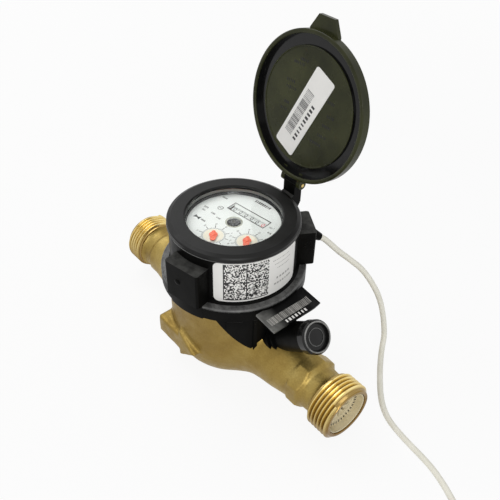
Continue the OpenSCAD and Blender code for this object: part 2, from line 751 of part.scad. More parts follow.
// Cup-shaped cap with a dished face
module plug_cap() color(black) plug_axis() translate([0, 0, plug_l]) rotate_extrude() polygon([
    [0, 0], [cap_r - 0.6, 0], [cap_r, 0.6], [cap_r, cap_l - 1], [cap_r - 1, cap_l],
    [cap_r - 1.8, cap_l], [cap_r - 2.4, cap_l - 1.6], [0, cap_l - 1.2]]);

// The tag seen along its width: flat, with one end curled up
module tag_profile() {
    flat_l = tag_l - curl_r * sin(curl_a);
    translate([-tag_l / 2, 0]) square([flat_l, tag_t]);
    translate([flat_l - tag_l / 2, curl_r]) intersection() {
        difference() {
            circle(curl_r);
            circle(curl_r - tag_t);
        }
        polygon([[0, 0], [0, -2 * curl_r], [2 * curl_r * sin(curl_a), -2 * curl_r * cos(curl_a)]]);
    }
}

module tag_plate() color([0.18, 0.18, 0.17]) difference() {
    translate([skirt_r - 2, 0, tag_z]) rotate([0, tag_tilt, 0]) rotate([90, 0, 90])
        linear_extrude(tag_w) tag_profile();
    translate([0, 0, tag_z - 10]) cylinder(r = skirt_r, h = 20);
}

module hinge_pin() color(brass) translate(hinge_pos - [arm_w / 2 + side_gap + ear_t + 0.3, 0, 0])
    rotate([0, 90, 0]) cylinder(r = pin_r, h = arm_w + 2 * (side_gap + ear_t + 0.3));

// Swings what is drawn closed to the angle at which the lid stands
module opened() translate(hinge_pos) rotate([-open_angle, 0, 0]) translate(-hinge_pos) children();

module lid() color([0.17, 0.17, 0.14]) opened() difference() {
    union() {
        rotate_extrude() polygon([
            [0, top_z + lid_gap], [lid_disc_r, top_z + lid_gap], [lid_disc_r, lid_plate_z],
            [lid_r - lid_lip_w, lid_plate_z], [lid_r - lid_lip_w, lid_plate_z - lid_lip],
            [lid_r, lid_plate_z - lid_lip], [lid_r, lid_plate_z + lid_t - lid_edge],
            [lid_r - lid_edge, lid_plate_z + lid_t], [0, lid_plate_z + lid_t]]);
        translate([0, 0, lid_plate_z]) linear_extrude(lid_t) polygon([
            [-9.7, 2 - lid_r], [9.7, 2 - lid_r], [9.7, 0.6 - lid_r], [5.3, -lid_r - 7],
            [-5.3, -lid_r - 7], [-9.7, 0.6 - lid_r]]);
        for (s = [-1, 1]) translate([hinge_x + s * (arm_w / 2 + side_gap + ear_t / 2) - ear_t / 2, 0, 0])
            rotate([90, 0, 90]) linear_extrude(ear_t) {
                translate([hinge_r, hinge_z]) circle(knuckle_r);
                polygon([[lid_r - 4, lid_plate_z], [hinge_r, hinge_z - knuckle_r],
                    [hinge_r, hinge_z + knuckle_r], [lid_r - 4, lid_plate_z + lid_t]]);
            }
    }
    translate(hinge_pos - [arm_w, 0, 0]) rotate([0, 90, 0]) cylinder(r = pin_r + run_fit, h = 2 * arm_w);
}

module lid_label() color(white) opened() translate([-1, 3, top_z + lid_gap - 0.2])
    rotate(22.6) linear_extrude(0.2) round_rect(lid_label_w, lid_label_l, 1.5);

// Flexible lead from the gland to the coil
module pulse_cable() color(white) tube(lead_route, lead_d / 2, lead_sides);

// Outer form of the turns that are put away
module cable_coil() color(white) difference() {
    translate(coil_mid) rotate_extrude() translate([coil_r - coil_half_w, 0])
        square([2 * coil_half_w, coil_h]);
    cable_tie();
}

// Strap round the turns, let into them so that it lies level with the floor
module cable_tie() color(black) translate(coil_mid) rotate(tie_a) translate([coil_r, 0, coil_h / 2])
    difference() {
        cube([2 * coil_half_w + 2 * tie_t, tie_w, coil_h], center = true);
        cube([2 * coil_half_w - 2 * tie_t, tie_w + 2, coil_h - 2 * tie_t], center = true);
    }

// Last stretch of the lead, which leaves the coil and lies beside it
module cable_end() color(white)
    tube([for (i = [0 : end_steps]) end_point(i / end_steps)], lead_d / 2, lead_sides);

// Three stripped cores at the end of the lead
module core_tails() color([0.8, 0.4, 0.2]) for (k = [-1 : 1])
    translate(end_point(1)) rotate(end_a1 - 90) translate([0.1, 1.1 * k, 0])
        rotate([0, 90, 0]) cylinder(r = core_r, h = core_l);

meter_body();
inlet_strainer();
valve_cage();
valve_poppet();
valve_spring();
chamber_basket();
pivot_pin();
chamber_cover();
impeller();
drive_magnet();
pressure_plate();
body_seal();
lock_ring();
register_can();
movement_frame();
follower_magnet();
centre_spindle();
star_wheel();
first_gear();
pointer_arbor_a();
pointer_hand_a();
second_gear();
pointer_arbor_b();
pointer_hand_b();
drum_axle();
drum_1();
drum_2();
drum_3();
drum_4();
drum_5();
drum_6();
dial_plate();
register_glass();
glass_seal();
bezel_ring();
shroud();
serial_label();
pulse_sensor();
cable_gland();
saddle_block();
plug_barrel();
plug_cap();
tag_plate();
hinge_pin();
lid();
lid_label();
pulse_cable();
cable_coil();
cable_end();
core_tails();
cable_tie();
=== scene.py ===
# %% [markdown]
# # A water meter with its lid open
# The imported model is the frame: every solid is in its true place, in metres, with the origin under the bowl,
# X along the pipe and Z up. This lesson dresses it: the lead, the cast body with its threads, the printed dial,
# the labels and the finishes.

# %% Load the frame
import json
import math
import bpy
import bmesh
import numpy as np
from mathutils import Matrix, Vector

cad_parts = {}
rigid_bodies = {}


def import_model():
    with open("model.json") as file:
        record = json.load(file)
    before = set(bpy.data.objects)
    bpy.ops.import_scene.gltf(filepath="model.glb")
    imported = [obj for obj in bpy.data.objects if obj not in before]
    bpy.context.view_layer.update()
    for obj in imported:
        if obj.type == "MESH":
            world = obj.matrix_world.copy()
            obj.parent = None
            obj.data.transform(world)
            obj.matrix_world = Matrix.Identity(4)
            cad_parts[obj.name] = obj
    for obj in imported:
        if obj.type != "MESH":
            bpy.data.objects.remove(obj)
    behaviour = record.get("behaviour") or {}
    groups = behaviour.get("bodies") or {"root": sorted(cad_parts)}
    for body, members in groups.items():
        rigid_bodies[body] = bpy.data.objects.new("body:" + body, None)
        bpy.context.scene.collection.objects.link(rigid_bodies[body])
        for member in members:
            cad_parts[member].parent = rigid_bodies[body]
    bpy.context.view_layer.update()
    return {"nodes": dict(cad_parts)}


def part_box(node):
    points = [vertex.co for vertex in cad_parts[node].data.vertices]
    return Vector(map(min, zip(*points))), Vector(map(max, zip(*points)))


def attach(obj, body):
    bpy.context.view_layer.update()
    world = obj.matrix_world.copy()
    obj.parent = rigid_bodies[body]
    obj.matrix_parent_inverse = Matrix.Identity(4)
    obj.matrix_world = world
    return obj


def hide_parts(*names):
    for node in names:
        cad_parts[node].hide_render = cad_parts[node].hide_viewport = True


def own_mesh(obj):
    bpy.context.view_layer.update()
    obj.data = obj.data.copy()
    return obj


for thing in list(bpy.data.objects):
    bpy.data.objects.remove(thing)
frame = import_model()
nodes = frame["nodes"]
mm = 0.001


def link(thing):
    """Puts an object into the scene."""
    bpy.context.scene.collection.objects.link(thing)
    return thing


# %% [markdown]
# ## The camera
# The photograph was taken from in front of the outlet, a little above the open lid. Its place was solved from the
# outline of the pipe ends and of the bezel, so it is written as a point and three directions.

# %% Camera
camera = link(bpy.data.objects.new("camera", bpy.data.cameras.new("camera")))
camera.data.lens = 46.41
camera.data.sensor_width = 36
camera.data.clip_start = 0.01
right, up, back = (0.63815, 0.76970, 0.01786), (-0.50383, 0.39996, 0.76563), (0.58216, -0.49759, 0.64303)
standpoint = Matrix.Translation((0.214296, -0.171408, 0.301441))
camera.matrix_world = standpoint @ Matrix((right, up, back)).transposed().to_4x4()
bpy.context.scene.camera = camera
print("camera stands", round(camera.location.length, 3), "m from the origin")

# %% [markdown]
# ## Node helpers
# Studio, finishes and repeating forms are all node trees. Each helper adds one node, joins its inputs and gives back
# an output, so that a tree reads like a formula.

# %% Nodes as formulas
def node(nt, kind, inputs=None, output=0, **settings):
    """Adds a node; an input may be a value or another node's output. Gives one of its outputs."""
    made = nt.nodes.new(kind)
    for key, value in settings.items():
        setattr(made, key, value)
    for key, value in (inputs or {}).items():
        if isinstance(value, bpy.types.NodeSocket):
            nt.links.new(value, made.inputs[key])
        else:
            made.inputs[key].default_value = value
    return made.outputs[output]


def calc(nt, how, *values):
    """One step of arithmetic."""
    return node(nt, "ShaderNodeMath", dict(enumerate(values)), operation=how)


def remap(nt, value, low, high, to_low, to_high):
    """Moves a value from one range to another, and stops at both ends."""
    return node(nt, "ShaderNodeMapRange", {
        "Value": value, "From Min": low, "From Max": high, "To Min": to_low, "To Max": to_high})


def vector(nt, how, *values):
    """One step of vector arithmetic; a length is a number."""
    output = "Value" if how == "LENGTH" else "Vector"
    return node(nt, "ShaderNodeVectorMath", dict(enumerate(values)), output, operation=how)


def coords(nt, kind="Object", axis=None):
    """Coordinates or the normal of the piece itself, or one axis of them."""
    made = node(nt, "ShaderNodeTexCoord", None, kind)
    return node(nt, "ShaderNodeSeparateXYZ", {0: made}, axis) if axis else made


print("node helpers ready")

# %% [markdown]
# ## Studio
# A pale floor, a soft lamp overhead and a key lamp from the front, at a level at which a colour renders about as it is
# written. The world is white for the camera, in mirrors and through glass, and a quiet grey where it only lights the
# part. The floor is partly its own light for the same rays, which makes it white and leaves the shadow, and wholly so
# far from the part, where it melts into the world.

# %% World and floor
bpy.context.scene.view_settings.view_transform = "Standard"


def seen_as_backdrop(nt):
    """1 for rays from the camera, from a mirror or through a glass, and 0 for the rays that only light."""
    path = nt.nodes.new("ShaderNodeLightPath").outputs
    seen = calc(nt, "MAXIMUM", path["Is Camera Ray"], path["Is Glossy Ray"])
    return calc(nt, "MAXIMUM", seen, path["Is Transmission Ray"])


world = bpy.data.worlds.new("studio")
bpy.context.scene.world = world
world.use_nodes = True
wt = world.node_tree
backdrop = wt.nodes["Background"].inputs
backdrop["Color"].default_value = (1, 1, 1, 1)
wt.links.new(remap(wt, seen_as_backdrop(wt), 0, 1, 0.45, 1.0), backdrop["Strength"])

floor_mat = bpy.data.materials.new("studio_floor")
floor_mat.use_nodes = True
ft = floor_mat.node_tree
ft.nodes.remove(ft.nodes["Principled BSDF"])
matt = node(ft, "ShaderNodeBsdfDiffuse", {"Color": (0.86, 0.86, 0.86, 1)})
glow = node(ft, "ShaderNodeEmission", {"Color": (1, 1, 1, 1), "Strength": 1.0})
whiter = remap(ft, vector(ft, "LENGTH", coords(ft)), 0.3, 1.2, 0.9, 1.0)
both = node(ft, "ShaderNodeMixShader", {0: calc(ft, "MULTIPLY", seen_as_backdrop(ft), whiter), 1: matt, 2: glow})
ft.links.new(both, ft.nodes["Material Output"].inputs["Surface"])
floor_mesh = bpy.data.meshes.new("studio_floor")
floor_half, floor_z = 4.0, -0.0004
corners = [(x * floor_half, y * floor_half, floor_z) for x, y in ((-1, -1), (1, -1), (1, 1), (-1, 1))]
floor_mesh.from_pydata(corners, [], [(0, 1, 2, 3)])
floor_mesh.materials.append(floor_mat)
floor = link(bpy.data.objects.new("studio_floor", floor_mesh))
print("world and floor ready")

# %% Lamps
def lamp(name, place, aim, size, watts):
    """A square area lamp, turned to the point that it lights."""
    made = link(bpy.data.objects.new(name, bpy.data.lights.new(name, "AREA")))
    made.data.size = size
    made.data.energy = watts
    made.location = place
    made.rotation_euler = (Vector(aim) - Vector(place)).to_track_quat("-Z", "Y").to_euler()


lamp("overhead", (-0.42, 0.0, 0.75), (0, 0, 0.05), 0.55, 2.2)
lamp("key", (0.66, -0.5, 0.5), (0.02, 0, 0.06), 0.4, 2.7)
print("two lamps hung")

# %% [markdown]
# ## The signal lead
# A thin cream lead leaves the gland on the right lug, hangs down and runs over the floor. The photograph loses it at
# its lower edge, so the rest of the usual metre and a half lies in a neat coil just outside the view, held by a tie.
# The points of the route are those of the solids. The coil is wound row by row: each row drifts by one diameter per
# turn, and between rows the lead climbs at the edge, so that no turn cuts another.

# %% Route of the lead
lead_d = 3.4
lead_route = [
    (24.5, 42.4, 74.5), (25.7, 44.5, 72.9), (29.2, 47.7, 68.9), (32.6, 50.6, 65), (38.8, 54.6, 60.4),
    (44.3, 60, 53.5), (52.6, 63, 44), (56.6, 65.3, 35), (59.2, 66.7, 26), (61.4, 67.4, 17), (64, 66.2, 9.5),
    (67.2, 61.8, 4.4), (72, 55.7, 2), (77.7, 48.8, 1.8), (83.7, 42.1, 1.8), (89.8, 36, 1.8), (96.2, 31, 1.8),
    (103.5, 27.4, 1.8), (112, 25.4, 1.8), (120.5, 24.2, 1.8), (129.2, 23.3, 1.8), (137.3, 22, 1.8),
    (144.3, 20, 1.8), (151, 17.4, 1.8), (158.2, 13.9, 1.8), (164.7, 9.2, 1.8), (170.3, 3.5, 1.8),
    (174.9, -3.1, 1.8), (179, -10.1, 1.8), (183, -17, 1.8), (187, -23.9, 1.8), (191, -30.7, 1.8)]
coil_mid, coil_r, coil_rows, row_turns, coil_start = (170, -43), 6 * lead_d, 4, 2.285, 30.4
end_a0, end_a1 = -20.0, -110.0


def smooth(t):
    t = min(1.0, max(0.0, t))
    return t * t * (3 - 2 * t)


def coil_points(per_turn=18, climb=0.16):
    """The turns from the outer bottom one to the outer top one, clockwise as seen from above."""
    half = row_turns * lead_d / 2
    made = []
    steps = round(coil_rows * row_turns * per_turn)
    for i in range(1, steps + 1):
        u = i / per_turn
        row = min(coil_rows - 1, int(u / row_turns - 1e-9))
        v = u - row * row_turns
        start = climb if row else 0.0
        drift = max(0.0, v - start) / (row_turns - start)
        r = coil_r + half * (1 - 2 * drift) * (1 if row % 2 == 0 else -1)
        z = lead_d / 2 + 0.1 + lead_d * (row - 1 + smooth(v / climb) if row else 0)
        a = math.radians(coil_start - 360 * u)
        made.append((coil_mid[0] + r * math.cos(a), coil_mid[1] + r * math.sin(a), z))
    return made


def end_point(s):
    """The last stretch, which comes down from the top turn to the floor beside the coil."""
    a = math.radians(end_a0 + (end_a1 - end_a0) * s)
    ease = smooth(1.4 * s)
    r = coil_r + row_turns * lead_d / 2 + ease * (lead_d + 0.3)
    z = coil_rows * lead_d - lead_d / 2
    return (coil_mid[0] + r * math.cos(a), coil_mid[1] + r * math.sin(a), z + ease * (lead_d / 2 + 0.1 - z))


lead_points = lead_route + coil_points() + [end_point(i / 8) for i in range(1, 9)]

# %% Lead as a round curve
lead_curve = bpy.data.curves.new("signal_lead", "CURVE")
lead_curve.dimensions = "3D"
lead_curve.bevel_depth = 1.0
lead_curve.bevel_resolution = 3
lead_curve.resolution_u = 4
lead_curve.use_fill_caps = True
line = lead_curve.splines.new("BEZIER")
line.bezier_points.add(len(lead_points) - 1)
for knot, p in zip(line.bezier_points, lead_points):
    knot.co = Vector(p) * mm
    knot.radius = lead_d / 2 * mm
    knot.handle_left_type = knot.handle_right_type = "AUTO"
lead = link(bpy.data.objects.new("signal_lead", lead_curve))
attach(lead, "meter")
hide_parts("pulse_cable", "cable_coil", "cable_end")

# %% [markdown]
# ## Finishes
# Each finish is a small tree of noise on Object coordinates, so that its grain has a true size in millimetres on
# every piece. What is the same all over stays on the shader's own sockets; the noise only drives colour, roughness
# and the fine relief.

# %% Helpers for finishes
finishes = {}


def finish(key, name, colour, rough, metal=0.0, **sockets):
    """A new finish with its constants; gives its tree and its shader's sockets."""
    finishes[key] = bpy.data.materials.new(name)
    finishes[key].use_nodes = True
    nt = finishes[key].node_tree
    bsdf = nt.nodes["Principled BSDF"].inputs
    bsdf["Base Color"].default_value = (*colour, 1)
    bsdf["Roughness"].default_value = rough
    bsdf["Metallic"].default_value = metal
    for socket, value in sockets.items():
        bsdf[socket.replace("_", " ")].default_value = value
    return nt, bsdf


def grain(nt, scale, detail=3.0, stretch=(1, 1, 1), rough=0.55):
    """Noise of that many features per metre, drawn out along the axes if asked."""
    where = coords(nt)
    if stretch != (1, 1, 1):
        where = node(nt, "ShaderNodeMapping", {"Vector": where, "Scale": stretch})
    return node(nt, "ShaderNodeTexNoise", {"Vector": where, "Scale": scale, "Detail": detail, "Roughness": rough})


def tint(nt, fac, *stops):
    """A band of colours, read at the places that the noise gives."""
    made = nt.nodes.new("ShaderNodeValToRGB")
    nt.links.new(fac, made.inputs["Fac"])
    band = made.color_ramp.elements
    while len(band) < len(stops):
        band.new(0.5)
    for element, (place, colour) in zip(band, stops):
        element.position = place
        element.color = (*colour, 1)
    return made.outputs["Color"]


def span(nt, fac, low, high):
    """Noise spread between two values."""
    return remap(nt, fac, 0.3, 0.7, low, high)


def mix(nt, fac, a, b):
    """Two colours, or two noises as greys, mixed by a share."""
    a, b = ((*c, 1) if isinstance(c, tuple) else c for c in (a, b))
    return node(nt, "ShaderNodeMix", {0: fac, 6: a, 7: b}, 2, data_type="RGBA")


def paint(nt, bsdf, colour, rough=None):
    """Joins a colour, and a roughness if there is one, to the shader."""
    nt.links.new(colour, bsdf["Base Color"])
    if rough is not None:
        nt.links.new(rough, bsdf["Roughness"])


def relief(nt, bsdf, height, depth_mm, strength=1.0):
    bump = node(nt, "ShaderNodeBump", {"Height": height, "Distance": depth_mm * mm, "Strength": strength})
    nt.links.new(bump, bsdf["Normal"])


print("helpers ready")

# %% [markdown]
# ### Brass
# The bowl and the necks are as cast: a sandy skin, dull gold with browner patches, and a painted shade that browns it
# towards the bowl. The threads and the end faces are turned, so they are brighter and carry fine rings across the
# axis.
# The roots of the threads and the underside are darkened by painted shade: the distance from the pipe axis and the
# height mix in a brown.

# %% Brass finishes
nt, bsdf = finish("cast", "brass_as_cast", (0.6, 0.45, 0.2), 0.5, 0.7)
patches, sand = grain(nt, 55, 4), grain(nt, 1100, 3)
golden = tint(nt, patches, (0.3, (0.29, 0.195, 0.045)), (0.5, (0.4, 0.285, 0.075)), (0.72, (0.51, 0.39, 0.13)))
speckled = mix(nt, span(nt, sand, 0.0, 0.4), golden, (0.2, 0.125, 0.026))
# Painted shade: a brown mixed in near the upright axis darkens the bowl.
off_middle = vector(nt, "LENGTH", vector(nt, "MULTIPLY", coords(nt), (1, 1, 0)))
shade_near_bowl = remap(nt, off_middle, 0.036, 0.062, 0.55, 0.0)
paint(nt, bsdf, mix(nt, shade_near_bowl, speckled, (0.2, 0.12, 0.018)), span(nt, grain(nt, 240, 3), 0.36, 0.56))
relief(nt, bsdf, mix(nt, 0.35, sand, grain(nt, 320, 4)), 0.35, 0.55)

nt, bsdf = finish("turned", "brass_turned", (0.83, 0.58, 0.2), 0.24, 1.0)
rings = grain(nt, 90, 2, (26, 1, 1))
bright = tint(nt, rings, (0.3, (0.74, 0.53, 0.16)), (0.7, (0.98, 0.81, 0.38)))
# Painted shade: a brown in the roots of the threads and another on the underside.
from_axis = vector(nt, "MULTIPLY", vector(nt, "ADD", coords(nt), (0, 0, -0.022)), (0, 1, 1))
shade_in_groove = remap(nt, vector(nt, "LENGTH", from_axis), 0.0150, 0.0163, 0.85, 0.0)
shade_underneath = remap(nt, coords(nt, axis="Z"), 0.014, 0.037, 0.95, 0.0)
shaded_underside = mix(nt, shade_underneath, bright, (0.2, 0.115, 0.02))
paint(nt, bsdf, mix(nt, shade_in_groove, shaded_underside, (0.2, 0.11, 0.025)), span(nt, grain(nt, 300, 3), 0.2, 0.34))
relief(nt, bsdf, rings, 0.04, 0.4)
print("brass:", finishes["cast"].name, finishes["turned"].name)

# %% [markdown]
# ### Black mouldings
# The shroud and the bezel are satin black with a fine grain, and dust with a painted sheen greys the flat tops of the
# satin black. The lid is glossier, with an olive cast and smears, and the plug is polished. The tag carries a painted
# sheen, paler towards its near end.

# %% Black and olive finishes
for key, name, shine in (("black", "satin_black", 0.04), ("bezel", "bezel_black", 0.24)):
    nt, bsdf = finish(key, name, (0.006, 0.006, 0.006), 0.42, Specular_IOR_Level=shine)
    base = tint(nt, grain(nt, 70, 4), (0.35, (0.0022, 0.0022, 0.002)), (0.75, (0.006, 0.006, 0.0055)))
    if key == "black":
        # Flat tops greyed by dust and by a painted sheen.
        flat_tops = remap(nt, coords(nt, "Normal", "Z"), 0.85, 0.99, 0, 1)
        dust_and_sheen = calc(nt, "MULTIPLY", flat_tops, span(nt, grain(nt, 240, 4), 0.3, 0.9))
        base = mix(nt, dust_and_sheen, base, (0.085, 0.085, 0.08))
    paint(nt, bsdf, base, span(nt, grain(nt, 160, 4), 0.3, 0.46))
    relief(nt, bsdf, grain(nt, 2600, 2), 0.03, 0.5)

nt, bsdf = finish("lid", "olive_black_gloss", (0.03, 0.032, 0.018), 0.24, Specular_IOR_Level=0.16)
smears = tint(nt, grain(nt, 45, 4), (0.3, (0.017, 0.0185, 0.0068)), (0.7, (0.046, 0.049, 0.018)))
paint(nt, bsdf, smears, span(nt, grain(nt, 120, 5), 0.17, 0.36))
relief(nt, bsdf, grain(nt, 500, 2), 0.02, 0.4)

nt, bsdf = finish("polished", "polished_black", (0.012, 0.012, 0.012), 0.1, Specular_IOR_Level=0.3)
base = tint(nt, grain(nt, 90, 3), (0.3, (0.003, 0.003, 0.003)), (0.7, (0.008, 0.008, 0.0078)))
paint(nt, bsdf, base, span(nt, grain(nt, 220, 4), 0.07, 0.2))

nt, bsdf = finish("tag", "tag_black", (0.006, 0.006, 0.006), 0.3, Specular_IOR_Level=0.08)
near_end = min(v.co.y for v in nodes["tag_plate"].data.vertices)
# Painted sheen: the tag turns pale grey towards its near end.
sheen_near_end = remap(nt, coords(nt, axis="Y"), near_end, near_end + 10 * mm, 1.0, 0.0)
patchy_sheen = calc(nt, "MULTIPLY", sheen_near_end, span(nt, grain(nt, 260, 3), 0.5, 1.0))
paint(nt, bsdf, mix(nt, patchy_sheen, (0.005, 0.005, 0.005), (0.26, 0.26, 0.245)))

nt, bsdf = finish("rubber", "seal_rubber", (0.02, 0.02, 0.02), 0.7)
paint(nt, bsdf, tint(nt, grain(nt, 600, 3), (0.3, (0.014, 0.014, 0.014)), (0.7, (0.03, 0.03, 0.03))))
relief(nt, bsdf, grain(nt, 1500, 2), 0.03)
print("black finishes ready")

# %% [markdown]
# ### Pale, red and metal parts
# The insert in the outlet is natural white, the labels are coated paper, the dial is enamelled white, the lead is a
# soft cream. Pointers are orange red. The window is real glass: it lets the lamps through by casting no shadow.

# %% Pale, red and metal finishes
def plain_variation(key, name, dark, light, rough, scale, grain_mm=0.0, metal=0.0):
    """A finish whose colour wanders between two near tones, with a fine relief if asked."""
    nt, bsdf = finish(key, name, light, rough, metal)
    tone = tint(nt, grain(nt, scale, 4), (0.3, dark), (0.7, light))
    paint(nt, bsdf, tone, span(nt, grain(nt, scale * 3, 3), rough * 0.85, rough * 1.15))
    if grain_mm:
        relief(nt, bsdf, grain(nt, scale * 12, 2), grain_mm, 0.6)


for row in (
        ("natural", "natural_white", (0.78, 0.76, 0.68), (0.88, 0.86, 0.79), 0.42, 90, 0.03),
        ("aged", "aged_white", (0.64, 0.55, 0.34), (0.77, 0.68, 0.47), 0.42, 90, 0.03),
        ("paper", "label_paper", (0.85, 0.84, 0.81), (0.92, 0.91, 0.88), 0.55, 60, 0.015),
        ("ink", "label_ink", (0.012, 0.012, 0.012), (0.03, 0.03, 0.03), 0.5, 300),
        ("pale_ink", "pale_ink", (0.42, 0.41, 0.39), (0.5, 0.49, 0.47), 0.5, 300),
        ("tag_ink", "tag_ink", (0.4, 0.39, 0.36), (0.48, 0.47, 0.44), 0.5, 300),
        # A painted highlight: a grey on black for the light lines along edges and beads.
        ("painted_highlight", "painted_highlight_black", (0.04, 0.04, 0.039), (0.15, 0.15, 0.145), 0.3, 260),
        # A painted highlight: pale patches on black for the glints on the rim of the cap.
        ("glint", "painted_glint_black", (0.02, 0.02, 0.02), (0.42, 0.42, 0.4), 0.2, 150),
        ("enamel", "dial_enamel", (0.66, 0.67, 0.65), (0.73, 0.74, 0.72), 0.45, 50),
        ("grey_ink", "dial_grey", (0.05, 0.045, 0.04), (0.09, 0.08, 0.07), 0.5, 300),
        ("olive", "star_olive", (0.3, 0.3, 0.24), (0.4, 0.4, 0.33), 0.5, 300),
        ("blush", "dial_blush", (0.72, 0.66, 0.52), (0.78, 0.72, 0.6), 0.5, 80),
        ("orange", "pointer_orange", (0.72, 0.08, 0.02), (0.88, 0.13, 0.035), 0.35, 200),
        ("red_ink", "drum_red", (0.6, 0.03, 0.05), (0.72, 0.06, 0.08), 0.45, 200),
        ("cream", "lead_cream", (0.88, 0.86, 0.75), (0.97, 0.95, 0.85), 0.5, 120, 0.02),
        ("steel", "turned_steel", (0.5, 0.5, 0.51), (0.62, 0.62, 0.64), 0.3, 400, 0.0, 1.0),
        ("ferrite", "magnet_ferrite", (0.03, 0.03, 0.032), (0.06, 0.06, 0.064), 0.6, 500, 0.03),
        ("copper", "drawn_copper", (0.5, 0.25, 0.14), (0.66, 0.36, 0.22), 0.32, 150, 0.0, 1.0),
        ("pin", "pin_brass", (0.62, 0.45, 0.16), (0.8, 0.62, 0.27), 0.25, 400, 0.0, 1.0)):
    plain_variation(*row)
nt, bsdf = finish("glass", "window_glass", (0.96, 0.98, 0.97), 0.0, Transmission_Weight=1.0, IOR=1.33)
nt.links.new(span(nt, grain(nt, 60, 3), 0.0, 0.03), bsdf["Roughness"])
nodes["register_glass"].visible_shadow = False
print(len(finishes), "finishes")

# %% Finishes of the solids that keep their shape
dressed = {
    "cast": "pressure_plate lock_ring",
    "bezel": "bezel_ring",
    "black": "shroud cable_gland pulse_sensor cable_tie plug_barrel saddle_block",
    "tag": "tag_plate",
    "polished": "plug_cap",
    "lid": "lid",
    "natural": "valve_poppet chamber_basket chamber_cover impeller movement_frame first_gear pointer_arbor_a "
               "second_gear pointer_arbor_b",
    "steel": "valve_spring pivot_pin centre_spindle drum_axle",
    "ferrite": "drive_magnet follower_magnet star_wheel",
    "aged": "valve_cage inlet_strainer",
    "rubber": "body_seal glass_seal",
    "copper": "register_can core_tails",
    "orange": "pointer_hand_a pointer_hand_b",
    "enamel": "dial_plate drum_1 drum_2 drum_3 drum_4 drum_5 drum_6",
    "glass": "register_glass",
    "paper": "serial_label lid_label",
    "pin": "hinge_pin"}
for key, names in dressed.items():
    for name in names.split():
        nodes[name].data.materials.clear()
        nodes[name].data.materials.append(finishes[key])
lead.data.materials.append(finishes["cream"])
print(len(" ".join(dressed.values()).split()), "solids dressed")

# %% [markdown]
# ## The cast body
# Bowl, necks, flats and flow arrow are one sand casting, so every inner corner is filled and every edge is soft. Mesh
# tools make such fillets badly where round forms meet. A distance field does it well: each form is a formula for the
# distance to its surface, a smooth minimum melts them together, and the skin is laid through the zero level. The
# formulas use the sizes of the solid, and the water ways are cut out again at the end.

# %% Distance formulas
def outline_distance(u, v, outline):
    """Signed distance from points to a closed outline in a plane, negative inside."""
    best = np.full(u.shape, 1e9, np.float32)
    inside = np.zeros(u.shape, bool)
    for (u0, v0), (u1, v1) in zip(outline, outline[1:] + outline[:1]):
        du, dv = u1 - u0, v1 - v0
        t = np.clip(((u - u0) * du + (v - v0) * dv) / (du * du + dv * dv), 0, 1)
        best = np.minimum(best, (u - u0 - t * du) ** 2 + (v - v0 - t * dv) ** 2)
        if dv:
            inside ^= ((v0 > v) != (v1 > v)) & (u < u0 + (v - v0) / dv * du)
    return np.where(inside, -1, 1) * np.sqrt(best)


def melt(a, b, width):
    """The nearer of two forms, with a fillet of about that width where they meet."""
    h = np.clip(0.5 + 0.5 * (b - a) / width, 0, 1)
    return b + (a - b) * h - width * h * (1 - h)


def drum_distance(r, along, radius, low, high):
    """Distance to a round drum, from the distance to its axis and the place along it."""
    return np.maximum(r - radius, np.maximum(low - along, along - high))


axis_h, foot_r, bowl_r, rim_h = 22.0, 20.0, 36.6, 62.0
step = 0.85
xs, ys, zs = np.arange(-82, 82.1, step), np.arange(-41.5, 38.6, step), np.arange(-1.6, 64, step)
X, Y, Z = (g.astype(np.float32) for g in np.meshgrid(xs, ys, zs, indexing="ij"))
R, T = np.hypot(X, Y), np.hypot(Y, Z - axis_h)
foot_curve = [math.radians(a) for a in range(10, 91, 10)]
bowl_line = [(-9, 0), (foot_r, 0)] + [
    (foot_r + (bowl_r - foot_r) * math.sin(a), (axis_h - 1) * (1 - math.cos(a))) for a in foot_curve] + [
    (bowl_r, rim_h), (-9, rim_h)]
neck_line = [(-9, -9), (-9, 21), (10, 21), (30, 19.6), (36, 18.8), (43, 17.7), (51, 16.7), (58, 15.3), (65.5, 14.4),
             (71, 14.4), (72.5, 13.2), (77.5, 12.9), (79.3, 13.4), (80.5, 15.2), (81.6, 15.2), (81.6, -9)]
cast = melt(outline_distance(R, Z, bowl_line), outline_distance(np.abs(X), T, neck_line), 7.0)
print("field of", X.size, "points")

# %% Flats and arrow
flats_x, flats_half, flats_r = 66.7, 3.7, 14.7
sides = [math.pi / 4 * k for k in range(4)]
across = np.max([np.abs(Y * math.cos(a) + (Z - axis_h) * math.sin(a)) for a in sides], axis=0)
cast = melt(cast, np.maximum(np.abs(X - flats_x) - flats_half, across - flats_r), 1.4)
arrow_line = [(-22, -6), (-2, -6), (-2, -11), (13, 0), (-2, 11), (-2, 6), (-22, 6)]
arrow_y, arrow_half, edge_r = -34.1, 5.2, 1.5
beside = outline_distance(X, Z - axis_h + 1, arrow_line) + edge_r
above = np.abs(Y - arrow_y) - arrow_half + edge_r
arrow = np.minimum(np.maximum(beside, above), 0) + np.hypot(np.maximum(beside, 0), np.maximum(above, 0)) - edge_r
cast = melt(cast, arrow, 1.6)
wander = (np.sin(X * 0.55 + 1.3 * np.sin(Z * 0.31)) * np.sin(Y * 0.47 + 0.9)
          * np.sin(Z * 0.53 + 0.4 * np.sin(X * 0.23)))
floor_gap, wander_depth = 0.05, 0.06
cast = np.maximum(cast + wander_depth * wander, floor_gap - Z)
print("flats, arrow and a skin that wanders by", wander_depth, "mm")

